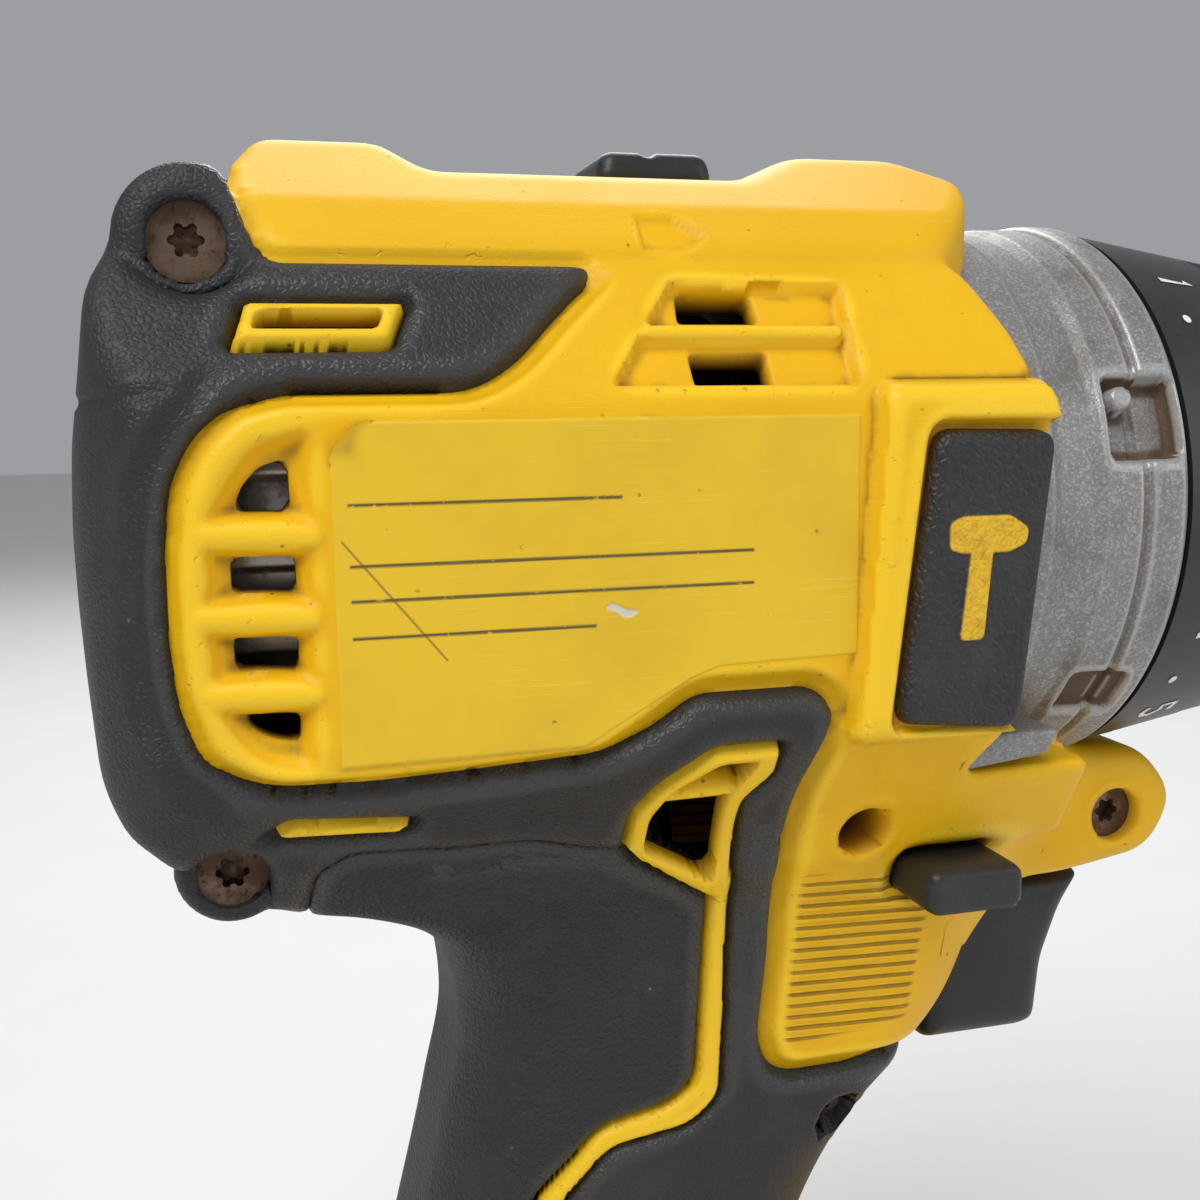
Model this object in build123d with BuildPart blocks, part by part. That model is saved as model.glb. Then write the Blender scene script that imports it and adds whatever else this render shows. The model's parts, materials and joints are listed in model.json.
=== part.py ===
"""Cordless hammer drill driver, built as it comes apart on a bench.

Millimetres. +X points out of the chuck, +Y to the user's left and +Z up.
The origin is the middle of the battery's rest face.
"""

import math
import os

from build123d import *

os.makedirs("parts", exist_ok=True)

# Fits between pieces
RUN = 0.05
SEAT = 0.1
GAP = 0.3
LOOSE = 0.5

# Overall places
SPINDLE_HEIGHT = 168.0
HEAD_REAR = -65.0
SHELL_FRONT = 26.0
RING_X = 44.0
NOSE_X = 125.0

# Motor head, heights from the spindle axis
HEAD_HALF_WIDTH = 34.0
RIB_TOP = 38.0
SADDLE_TOP = 34.4
RIB_FOOT = 25.0
PANEL_TOP = 13.6
PANEL_BOTTOM = -21.6
HEAD_BOTTOM = -36.5
EAR_TOP = 33.2
SHELL_WALL = 3.0
RUBBER_DEPTH = 1.7
RUBBER_PROUD = 0.4

# Handle, foot and front boss
HANDLE_TOP = -30.0
HANDLE_END = -121.0
HANDLE_HALF_WIDTH = 18.0
FOOT_TOP = 53.0
FOOT_REAR = -54.0
FOOT_FRONT = 52.0
FOOT_HALF_WIDTH = 35.0
BOSS_FRONT = 60.0
BOSS_HALF_WIDTH = 13.0

# Motor and gears
CORE_REAR = -38.0
CORE_LENGTH = 24.0
CORE_RADIUS = 24.0
ROTOR_RADIUS = 12.0
MOTOR_SHAFT = 2.5
MODULE = 1.0
SUN_TEETH = 15
PLANET_TEETH = 15
RING_TEETH = SUN_TEETH + 2 * PLANET_TEETH
PLANETS = 3
GEAR_WIDTH = 8.0
GEARBOX_REAR = 4.0
PLATE = 3.0
PIN_RADIUS = 2.5
CASE_RADIUS = 31.5
CASE_REAR_RADIUS = 29.5
RING_RADIUS = 32.0
CASE_WALL = 2.8
NECK_RADIUS = 15.0
NECK_FRONT = 71.0
SPINDLE_RADIUS = 7.0

# Torque collar and chuck
COLLAR_RADIUS = 31.4
COLLAR_NOSE_RADIUS = 27.0
COLLAR_FRONT = 71.5
COLLAR_WALL = 2.6
CHUCK_REAR = 73.0
CHUCK_BODY_RADIUS = 17.0
SLEEVE_RADIUS = 22.0
SLEEVE_FRONT = 113.0
SLEEVE_WALL = 2.0
NOSE_RADIUS = 10.5
BIT_BORE = 6.8
JAW_RADIUS = 3.6
JAW_ANGLE = 16.0
JAW_LENGTH = 24.0
GRIPPED_RADIUS = 3.0

# Controls
TRIGGER_HALF_WIDTH = 9.0
TRIGGER_TRAVEL = 7.0
BUTTON_WIDTH = 10.0
BUTTON_HEIGHT = 4.4
BUTTON_TRAVEL = 8.0
BUTTON_PROUD = 30.0
SELECTOR_LENGTH = 13.2
SELECTOR_HALF_WIDTH = 7.0
SELECTOR_TRAVEL = 8.0

# Screws
SCREW_RADIUS = 2.0
HEAD_RADIUS = 3.6
HEAD_HEIGHT = 2.6
SCREW_REACH = 12.0

# Battery
BATTERY_LENGTH = 114.0
BATTERY_HALF_WIDTH = 37.5
BATTERY_HEIGHT = 30.6
BATTERY_SPLIT = 16.0
BATTERY_WALL = 2.4
CELL_RADIUS = 9.2
CELL_LENGTH = 65.0
CELLS = 5
TOWER_HEIGHT = 10.6
TOWER_REAR = -37.0
TOWER_FRONT = 44.0
TOWER_NECK = 20.0
TOWER_FLANGE = 24.0
FLANGE_DEPTH = 5.0
LATCH_TRAVEL = 3.0

# Planes and axes that every piece shares
AXIS_Z = SPINDLE_HEIGHT
AXLE = Plane(origin=(0, 0, AXIS_Z), x_dir=(0, 1, 0), z_dir=(1, 0, 0))
SIDE = Plane(origin=(0, 0, AXIS_Z), x_dir=(1, 0, 0), z_dir=(0, -1, 0))
TURN_AXIS = Axis((0, 0, AXIS_Z), (1, 0, 0))
REACH = 80.0
SPAN = 400.0


def pulled_in(points, inset):
    """Corners of a closed outline with every side moved inward by inset."""
    corners = [Vector(x, y) for x, y in points]
    area = sum(here.cross(there).Z for here, there in zip(corners, corners[1:] + corners[:1]))
    inward = inset * math.copysign(1.0, area)
    moved = []
    for before, here, after in zip(corners[-1:] + corners[:-1], corners, corners[1:] + corners[:1]):
        arriving = (here - before).normalized()
        leaving = (after - here).normalized()
        mitre = inward / (1.0 + arriving.dot(leaving))
        across = arriving + leaving
        moved.append((here.X - across.Y * mitre, here.Y + across.X * mitre))
    return moved


def outline(points, inset=0.0):
    """Closed straight-sided face in the current sketch, pulled in by inset."""
    Polygon(*pulled_in(points, inset), align=None)


def bar(x_start, x_end, radius, mode=Mode.ADD, y=0.0, z=0.0):
    """Round bar along the spindle direction."""
    with BuildSketch(AXLE.offset(x_start)) as face:
        with Locations((y, z)):
            Circle(radius)
    return extrude(face.sketch, amount=x_end - x_start, mode=mode)


def tube(x_start, x_end, outer_radius, inner_radius, mode=Mode.ADD):
    """Round tube on the spindle axis."""
    with BuildSketch(AXLE.offset(x_start)) as face:
        Circle(outer_radius)
        Circle(inner_radius, mode=Mode.SUBTRACT)
    return extrude(face.sketch, amount=x_end - x_start, mode=mode)


def block(x_range, y_range, z_range, mode=Mode.ADD):
    """Square block between two corners, heights from the rest face."""
    length, width, height = (high - low for low, high in (x_range, y_range, z_range))
    with Locations((x_range[0], y_range[0], z_range[0])):
        return Box(length, width, height, align=(Align.MIN, Align.MIN, Align.MIN), mode=mode)


def both_sides(points, reach=REACH, corner=0.0, inset=0.0, mode=Mode.ADD):
    """Side-view outline carried across the whole tool."""
    with BuildSketch(SIDE.offset(-reach)) as face:
        outline(points, inset)
        if corner:
            fillet(face.vertices(), corner)
    return extrude(face.sketch, amount=2 * reach, mode=mode)


def cross_bar(x, z, radius, y_right, y_left, mode=Mode.ADD):
    """Round bar across the tool, from its right end to its left end."""
    with BuildSketch(SIDE.offset(-y_left)) as face:
        with Locations((x, z)):
            Circle(radius)
    return extrude(face.sketch, amount=y_left - y_right, mode=mode)


# Outlines of the motor head
EAR_X = HEAD_REAR + 12.0
RIB_REAR = HEAD_REAR + 17.0
HUMP_REAR = 2.0
HUMP_FRONT = 31.0
HEAD_SIDE = [
    (HEAD_REAR + 8.0, HEAD_BOTTOM),
    (HEAD_REAR + 1.8, PANEL_BOTTOM + 2.6),
    (HEAD_REAR, -5.0),
    (HEAD_REAR + 1.6, PANEL_TOP - 3.0),
    (HEAD_REAR + 5.0, EAR_TOP - 7.0),
    (HEAD_REAR + 8.5, EAR_TOP),
    (RIB_REAR, EAR_TOP),
    (RIB_REAR + 4.0, RIB_TOP),
    (RIB_REAR + 13.2, RIB_TOP),
    (RIB_REAR + 17.5, SADDLE_TOP),
    (HUMP_REAR, SADDLE_TOP),
    (HUMP_REAR + 8.0, RIB_TOP),
    (HUMP_FRONT - 10.0, RIB_TOP),
    (HUMP_FRONT - 4.0, RIB_TOP - 3.0),
    (HUMP_FRONT, RIB_FOOT + 2.5),
    (HUMP_FRONT, HEAD_BOTTOM),
]
HALF_SECTION = [
    (HEAD_HALF_WIDTH - 24.0, RIB_TOP),
    (HEAD_HALF_WIDTH - 17.0, SADDLE_TOP - 3.4),
    (HEAD_HALF_WIDTH - 10.0, RIB_FOOT),
    (HEAD_HALF_WIDTH - 8.0, RIB_FOOT - 1.0),
    (HEAD_HALF_WIDTH - 1.0, PANEL_TOP),
    (HEAD_HALF_WIDTH, PANEL_TOP - 2.0),
    (HEAD_HALF_WIDTH, PANEL_BOTTOM + 2.0),
    (HEAD_HALF_WIDTH - 5.5, PANEL_BOTTOM - 6.0),
    (HEAD_HALF_WIDTH - 11.0, HEAD_BOTTOM),
]
HEAD_SECTION = HALF_SECTION + [(-y, z) for y, z in reversed(HALF_SECTION)]
HALF_PLAN = [
    (HUMP_FRONT, HEAD_HALF_WIDTH + 2.0),
    (HEAD_REAR + 9.0, HEAD_HALF_WIDTH + 2.0),
    (HEAD_REAR + 3.0, HEAD_HALF_WIDTH - 6.0),
    (HEAD_REAR, HEAD_HALF_WIDTH - 16.0),
]
HEAD_PLAN = HALF_PLAN + [(x, -y) for x, y in reversed(HALF_PLAN)]

# Handle sections: height from the axis, back, front, half width
HANDLE_SECTIONS = [
    (HANDLE_TOP, -34.0, 38.0, HANDLE_HALF_WIDTH + 5.5),
    (HANDLE_TOP - 16.0, -30.0, 33.0, HANDLE_HALF_WIDTH + 2.5),
    (HANDLE_TOP - 28.0, -28.5, 29.0, HANDLE_HALF_WIDTH + 1.0),
    (HANDLE_TOP - 40.0, -31.0, 18.0, HANDLE_HALF_WIDTH + 0.3),
    (HANDLE_TOP - 60.0, -36.0, 8.5, HANDLE_HALF_WIDTH - 0.5),
    (HANDLE_TOP - 78.0, -40.0, 4.0, HANDLE_HALF_WIDTH),
    (HANDLE_END, -44.0, 5.0, HANDLE_HALF_WIDTH + 2.0),
]
HANDLE_CORNER = 12.5


def head(inset):
    """Motor head: its side outline, cross section and plan, crossed with one another."""
    with BuildPart() as solid:
        both_sides(HEAD_SIDE, inset=inset)
        with BuildSketch(AXLE.offset(-SPAN)):
            outline(HEAD_SECTION, inset)
        extrude(amount=2 * SPAN, mode=Mode.INTERSECT)
        with BuildSketch(Plane.XY):
            outline(HEAD_PLAN, inset)
        extrude(amount=SPAN, mode=Mode.INTERSECT)
    return solid.part


def handle(inset):
    """Handle: rounded sections carried from the head down to the foot."""
    with BuildPart() as solid:
        for height, back, front, half_width in HANDLE_SECTIONS:
            with BuildSketch(Plane.XY.offset(AXIS_Z + height)):
                with Locations(((back + front) / 2, 0)):
                    depth = front - back - 2 * inset
                    width = 2 * half_width - 2 * inset
                    RectangleRounded(depth, width, HANDLE_CORNER - inset)
        loft()
    return solid.part


def outer(inset):
    """Head and handle as one skin, pulled in by inset."""
    with BuildPart() as solid:
        add(head(inset))
        add(handle(inset))
    return solid.part


# Side-view places of the panels, from the spindle axis
PANEL_LEFT = HEAD_REAR + 8.7
BAND_BOTTOM = PANEL_BOTTOM - 8.6
TONGUE_TIP = -17.0
ARCH_FRONT = 4.5
ARCH_TOP = PANEL_BOTTOM + 4.8
STRIPE_X = -3.5
STRIPE_WIDTH = 2.2
TRIGGER_PANEL_X = 3.0
TRIGGER_PANEL_BOTTOM = -60.0
BUMPER_OUTLINE = [
    (HEAD_REAR - 5.0, HEAD_BOTTOM - 5.0),
    (HEAD_REAR - 5.0, EAR_TOP + 5.0),
    (RIB_REAR - 0.5, EAR_TOP + 5.0),
    (RIB_REAR - 0.5, RIB_FOOT + 0.4),
    (TONGUE_TIP, RIB_FOOT),
    (TONGUE_TIP - 11.0, PANEL_TOP + 1.0),
    (PANEL_LEFT + 10.0, PANEL_TOP),
    (PANEL_LEFT + 3.0, PANEL_TOP - 3.0),
    (PANEL_LEFT, PANEL_TOP - 10.0),
    (PANEL_LEFT, PANEL_BOTTOM + 10.0),
    (PANEL_LEFT + 3.0, PANEL_BOTTOM + 3.0),
    (PANEL_LEFT + 10.0, PANEL_BOTTOM),
    (PANEL_LEFT + 26.0, PANEL_BOTTOM),
    (PANEL_LEFT + 36.0, PANEL_BOTTOM + 1.0),
    (PANEL_LEFT + 46.0, ARCH_TOP - 1.0),
    (ARCH_FRONT - 1.5, ARCH_TOP),
    (ARCH_FRONT, ARCH_TOP - 2.0),
    (TRIGGER_PANEL_X, PANEL_BOTTOM - 7.0),
    (TRIGGER_PANEL_X - 1.5, TRIGGER_PANEL_BOTTOM + 3.0),
    (TRIGGER_PANEL_X + 3.0, TRIGGER_PANEL_BOTTOM),
    (TRIGGER_PANEL_X + 16.0, TRIGGER_PANEL_BOTTOM),
    (TRIGGER_PANEL_X + 24.0, TRIGGER_PANEL_BOTTOM + 1.0),
    (TRIGGER_PANEL_X + 24.0, TRIGGER_PANEL_BOTTOM - 22.0),
    (STRIPE_X - 1.0, TRIGGER_PANEL_BOTTOM - 22.0),
    (STRIPE_X + STRIPE_WIDTH, BAND_BOTTOM - 9.0),
    (1.0, PANEL_BOTTOM - 1.0),
    (-8.0, PANEL_BOTTOM - 2.6),
    (-15.0, BAND_BOTTOM - 0.5),
    (-21.0, BAND_BOTTOM + 1.0),
    (HEAD_REAR + 22.0, BAND_BOTTOM),
    (HEAD_REAR + 18.0, HEAD_BOTTOM - 5.0),
]
GRIP_TOP = BAND_BOTTOM - 0.6
GRIP_OUTLINE = [
    (HEAD_REAR + 22.0, GRIP_TOP),
    (-21.0, GRIP_TOP + 0.6),
    (-15.5, GRIP_TOP - 1.0),
    (-8.0, GRIP_TOP - 6.5),
    (STRIPE_X - 1.5, GRIP_TOP - 10.0),
    (STRIPE_X - 3.0, GRIP_TOP - 32.0),
    (STRIPE_X - 9.0, GRIP_TOP - 38.0),
    (STRIPE_X - 18.0, GRIP_TOP - 41.0),
    (STRIPE_X - 22.0, GRIP_TOP - 50.0),
    (STRIPE_X - 24.0, HANDLE_END + 10.0),
    (HANDLE_SECTIONS[-1][1] - 6.0, HANDLE_END + 10.0),
    (HEAD_REAR + 22.0, HEAD_BOTTOM - 12.0),
]

# Clamshell screws: side-view place, and how far right of the middle plane the head seats
SCREWS = [
    (EAR_X, EAR_TOP - 7.0, HEAD_HALF_WIDTH - 12.5),
    (EAR_X + 1.0, HEAD_BOTTOM + 5.5, HEAD_HALF_WIDTH - 13.5),
    (11.0, HEAD_BOTTOM + 4.2, HANDLE_HALF_WIDTH - 3.0),
    (BOSS_FRONT - 9.5, HEAD_BOTTOM - 1.6, BOSS_HALF_WIDTH - 4.5),
    (TRIGGER_PANEL_X + 9.5, TRIGGER_PANEL_BOTTOM - 8.5, HANDLE_HALF_WIDTH - 7.5),
    (HANDLE_SECTIONS[-1][1] + 6.5, HANDLE_END + 8.0, HANDLE_HALF_WIDTH - 8.5),
]
BOSS_RADIUS = 5.2

# Raised frame of the mode pad
FRAME_REAR = 5.5
FRAME_PROUD = 2.0
PAD_INSET = 4.2
FRAME_OUTLINE = [
    (FRAME_REAR + 2.4, PANEL_TOP),
    (SHELL_FRONT, PANEL_TOP - 1.4),
    (SHELL_FRONT - 4.0, PANEL_BOTTOM),
    (FRAME_REAR, PANEL_BOTTOM + 0.8),
]
PAD_OUTLINE = [
    (FRAME_REAR + 2.4 + PAD_INSET, PANEL_TOP - PAD_INSET),
    (SHELL_FRONT - 0.8, PANEL_TOP - PAD_INSET),
    (SHELL_FRONT - 4.4, PANEL_BOTTOM + 1.6),
    (FRAME_REAR + PAD_INSET, PANEL_BOTTOM + 2.6),
]
PAD_PLANE = HEAD_HALF_WIDTH + 0.2
PAD_FACE = HEAD_HALF_WIDTH + FRAME_PROUD + 0.2

# Vent openings in the side wall
BAR_PITCH = 6.7
REAR_VENT_X = HEAD_REAR + 14.4
REAR_VENT_WIDTH = 6.0
REAR_VENT_TOP = PANEL_TOP - 6.4
VENT_OPENING = 3.6
SLOT_FRAME = [
    (HEAD_REAR + 16.2, PANEL_TOP + 7.2),
    (HEAD_REAR + 30.2, PANEL_TOP + 7.2),
    (HEAD_REAR + 28.8, PANEL_TOP + 3.4),
    (HEAD_REAR + 14.6, PANEL_TOP + 3.4),
]
SLOT_VENT = [
    (HEAD_REAR + 17.7, PANEL_TOP + 6.1),
    (HEAD_REAR + 28.4, PANEL_TOP + 6.1),
    (HEAD_REAR + 27.6, PANEL_TOP + 4.4),
    (HEAD_REAR + 16.8, PANEL_TOP + 4.4),
]
UPPER_VENT_HIGH = PANEL_TOP + 9.0
UPPER_VENT_LOW = PANEL_TOP + 3.4
UPPER_VENTS = [
    [
        (-9.4, UPPER_VENT_HIGH),
        (-1.6, UPPER_VENT_HIGH),
        (-1.0, UPPER_VENT_HIGH - 3.3),
        (-11.0, UPPER_VENT_HIGH - 3.3),
    ],
    [
        (-8.4, UPPER_VENT_LOW),
        (-0.3, UPPER_VENT_LOW),
        (0.0, UPPER_VENT_LOW - 3.2),
        (-8.6, UPPER_VENT_LOW - 3.2),
    ],
]
LOWER_VENTS = [
    [
        (-8.0, PANEL_BOTTOM - 3.6),
        (-0.6, PANEL_BOTTOM - 2.4),
        (-2.0, BAND_BOTTOM + 4.0),
        (-9.8, BAND_BOTTOM + 3.0),
    ],
    [
        (-10.4, BAND_BOTTOM + 1.6),
        (-3.0, BAND_BOTTOM + 2.4),
        (-5.0, BAND_BOTTOM - 4.6),
        (-12.6, BAND_BOTTOM - 1.2),
    ],
]

# Inner spaces of the shell
CAVITY_REAR = HEAD_REAR + SHELL_WALL
SKIN = SHELL_WALL + RUBBER_DEPTH
GEARBOX_BACK = GEARBOX_REAR - LOOSE
CASE_STEP = SHELL_FRONT - 6.5
TRIGGER_REAR = 28.0
TRIGGER_TOP = HEAD_BOTTOM - 10.0
TRIGGER_BOTTOM = TRIGGER_TOP - 20.0
BUTTON_X = 17.0
BUTTON_Z = HEAD_BOTTOM - 2.1
SELECTOR_FRONT = HUMP_REAR - GAP
SELECTOR_REAR = SELECTOR_FRONT - SELECTOR_LENGTH
STEM_HALF_WIDTH = 3.0
STEM_REAR = SELECTOR_REAR + 3.0
STEM_FRONT = SELECTOR_FRONT - 2.0
STEM_DEPTH = 5.0
FOOT_BOTTOM = BATTERY_HEIGHT + GAP
TOWER_TOP = BATTERY_HEIGHT + TOWER_HEIGHT
FOOT_CEILING = TOWER_TOP + 1.0
BOARD_FLOOR = FOOT_CEILING + 1.6
FOOT_WALL = 2.5
FOOT_TAPER = 8.0
FOOT_CORNER = 11.0
RAIL_TOP = TOWER_TOP - FLANGE_DEPTH - GAP
TERMINAL_DEPTH = 13.0
LENS_Z = FOOT_TOP - 8.5
LENS_REAR = FOOT_FRONT - 8.0
LENS_DEPTH = 4.5
LENS_HALF_WIDTH = 4.8
LENS_HALF_HEIGHT = 2.8
RIB_WIDTH = 2.0
BOARD_REAR = -29.0
BOARD_FRONT = 19.0
LATCH_HALF_WIDTH = 12.0
LATCH_REAR = TOWER_FRONT + 2.0
HOOK_HEIGHT = 2.8
BEARING_RADIUS = 8.0
BEARING_WIDTH = 5.0
VENT_RECESS = 1.5
VENT_BARS = 4
LEAD_X = -10.0
LEAD_RADIUS = 1.3
LEAD_SPACING = 5.0
SWITCH_TOP = HEAD_BOTTOM - 8.0
SWITCH_REAR = -15.0
SWITCH_FRONT = TRIGGER_REAR - TRIGGER_TRAVEL - 1.0
SWITCH_BOTTOM = SWITCH_TOP - 15.0
SWITCH_HALF_WIDTH = 10.5
BOARD_HALF_WIDTH = SWITCH_HALF_WIDTH + 4.0

FRONT_CUT = [
    (HUMP_FRONT + 1.0, RIB_FOOT),
    (SHELL_FRONT - 6.0, RIB_FOOT - 1.0),
    (SHELL_FRONT - 4.0, PANEL_TOP + 2.0),
    (SHELL_FRONT, PANEL_TOP - 1.4),
    (SHELL_FRONT - 4.0, PANEL_BOTTOM),
    (SHELL_FRONT - 5.0, PANEL_BOTTOM - 4.6),
    (RING_X, PANEL_BOTTOM - 6.2),
    (RING_X + 30.0, PANEL_BOTTOM - 6.2),
    (RING_X + 30.0, RIB_FOOT),
]
BOSS_OUTLINE = [
    (SHELL_FRONT - 4.0, HEAD_BOTTOM + 8.0),
    (BOSS_FRONT - 5.0, HEAD_BOTTOM + 6.0),
    (BOSS_FRONT, HEAD_BOTTOM),
    (BOSS_FRONT - 3.5, HEAD_BOTTOM - 7.0),
    (RING_X, HEAD_BOTTOM - 9.0),
    (SHELL_FRONT - 4.0, HEAD_BOTTOM - 9.0),
]


def rubber_region(points, inset=0.0):
    """Full-width column of one rubber field, less the window round the slot vent."""
    with BuildPart() as column:
        both_sides(points, inset=inset)
        both_sides(SLOT_FRAME, inset=-inset, mode=Mode.SUBTRACT)
    return column.part


def skin_layer(outer_inset, inner_inset):
    """Layer of the head and handle between two depths below the surface."""
    with BuildPart() as layer:
        add(outer(outer_inset))
        add(outer(inner_inset), mode=Mode.SUBTRACT)
    return layer.part


def screw_holes():
    """Counterbored clearance holes of the clamshell screws, as a list of cutters."""
    holes = []
    for x, z, seat in SCREWS:
        holes.append(cross_bar(x, z, HEAD_RADIUS + GAP, -REACH, -seat, mode=Mode.PRIVATE))
        holes.append(cross_bar(x, z, SCREW_RADIUS + RUN, -seat, SCREW_REACH + LOOSE, mode=Mode.PRIVATE))
    return holes


def vent_openings():
    """Every vent opening, right through both walls, as a list of cutters."""
    openings = [both_sides(vent, mode=Mode.PRIVATE) for vent in (SLOT_VENT, *UPPER_VENTS, *LOWER_VENTS)]
    with BuildSketch(SIDE.offset(-REACH)) as face:
        for index in range(VENT_BARS):
            top = REAR_VENT_TOP - index * BAR_PITCH
            with Locations((REAR_VENT_X + REAR_VENT_WIDTH / 2, top - VENT_OPENING / 2)):
                RectangleRounded(REAR_VENT_WIDTH, VENT_OPENING, VENT_OPENING / 4)
    openings.append(extrude(face.sketch, amount=2 * REACH, mode=Mode.PRIVATE))
    return openings


def side_recesses(face):
    """Recess of the rear vent and bed of the mode pad on one side, -1 right and 1 left."""
    with BuildSketch(Plane.XZ.offset(-face * (HEAD_HALF_WIDTH - VENT_RECESS))) as vent:
        with Locations((REAR_VENT_X + REAR_VENT_WIDTH / 2, AXIS_Z + (PANEL_TOP + PANEL_BOTTOM) / 2)):
            RectangleRounded(REAR_VENT_WIDTH + 3.0, PANEL_TOP - PANEL_BOTTOM - 5.0, REAR_VENT_WIDTH / 2)
    with BuildSketch(Plane.XZ.offset(-face * PAD_PLANE)) as bed:
        outline([(x, AXIS_Z + z) for x, z in PAD_OUTLINE])
    depth = -face * REACH / 2
    return [extrude(flat.sketch, amount=depth, mode=Mode.PRIVATE) for flat in (vent, bed)]


def trigger_pocket():
    """Room for the trigger and its travel."""
    return block(
        (SWITCH_FRONT, BOSS_FRONT),
        (-TRIGGER_HALF_WIDTH - LOOSE, TRIGGER_HALF_WIDTH + LOOSE),
        (AXIS_Z + TRIGGER_BOTTOM - LOOSE, AXIS_Z + TRIGGER_TOP + LOOSE),
        mode=Mode.PRIVATE,
    )


def control_openings():
    """Cutters for the lead hole, trigger, direction button and speed selector."""
    lead_hole = block(
        (LEAD_X - LEAD_SPACING, LEAD_X + LEAD_SPACING),
        (-2 * LEAD_SPACING, 2 * LEAD_SPACING),
        (AXIS_Z + SWITCH_TOP - 1.0, AXIS_Z + HEAD_BOTTOM + SKIN + 1.0),
        mode=Mode.PRIVATE,
    )
    button_half = BUTTON_HEIGHT / 2 + GAP
    button_hole = block(
        (BUTTON_X - GAP, BUTTON_X + BUTTON_WIDTH + GAP),
        (-REACH, REACH),
        (AXIS_Z + BUTTON_Z - button_half, AXIS_Z + BUTTON_Z + button_half),
        mode=Mode.PRIVATE,
    )
    selector_slot = block(
        (STEM_REAR - SELECTOR_TRAVEL - LOOSE, STEM_FRONT + LOOSE),
        (-STEM_HALF_WIDTH - GAP, STEM_HALF_WIDTH + GAP),
        (AXIS_Z + SADDLE_TOP - STEM_DEPTH - 1.0, AXIS_Z + RIB_TOP),
        mode=Mode.PRIVATE,
    )
    return [lead_hole, trigger_pocket(), button_hole, selector_slot]


def foot_openings():
    """Cutters for the battery channel, board space, lens window and latch notch."""
    start = TOWER_REAR - TERMINAL_DEPTH - GAP
    end = FOOT_FRONT + LENS_DEPTH
    neck = TOWER_NECK + GAP
    flange = TOWER_FLANGE + GAP
    board = BOARD_HALF_WIDTH + 1.0
    notch = LATCH_HALF_WIDTH + 1.0
    lens = LENS_HALF_WIDTH + 0.2
    window = (LENS_Z - LENS_HALF_HEIGHT - 0.2, LENS_Z + LENS_HALF_HEIGHT + 0.2)
    boxes = [
        ((start, end), (-neck, neck), (0, RAIL_TOP + GAP)),
        ((start, end), (-flange, flange), (RAIL_TOP, FOOT_CEILING)),
        ((BOARD_REAR - 1.0, BOARD_FRONT + 1.0), (-board, board), (BOARD_FLOOR, FOOT_TOP - FOOT_WALL)),
        ((LENS_REAR, end), (-lens, lens), window),
        ((LATCH_REAR - GAP, end), (-notch, notch), (0, BATTERY_HEIGHT + HOOK_HEIGHT + LOOSE)),
    ]
    return [block(*spans, mode=Mode.PRIVATE) for spans in boxes]


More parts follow.
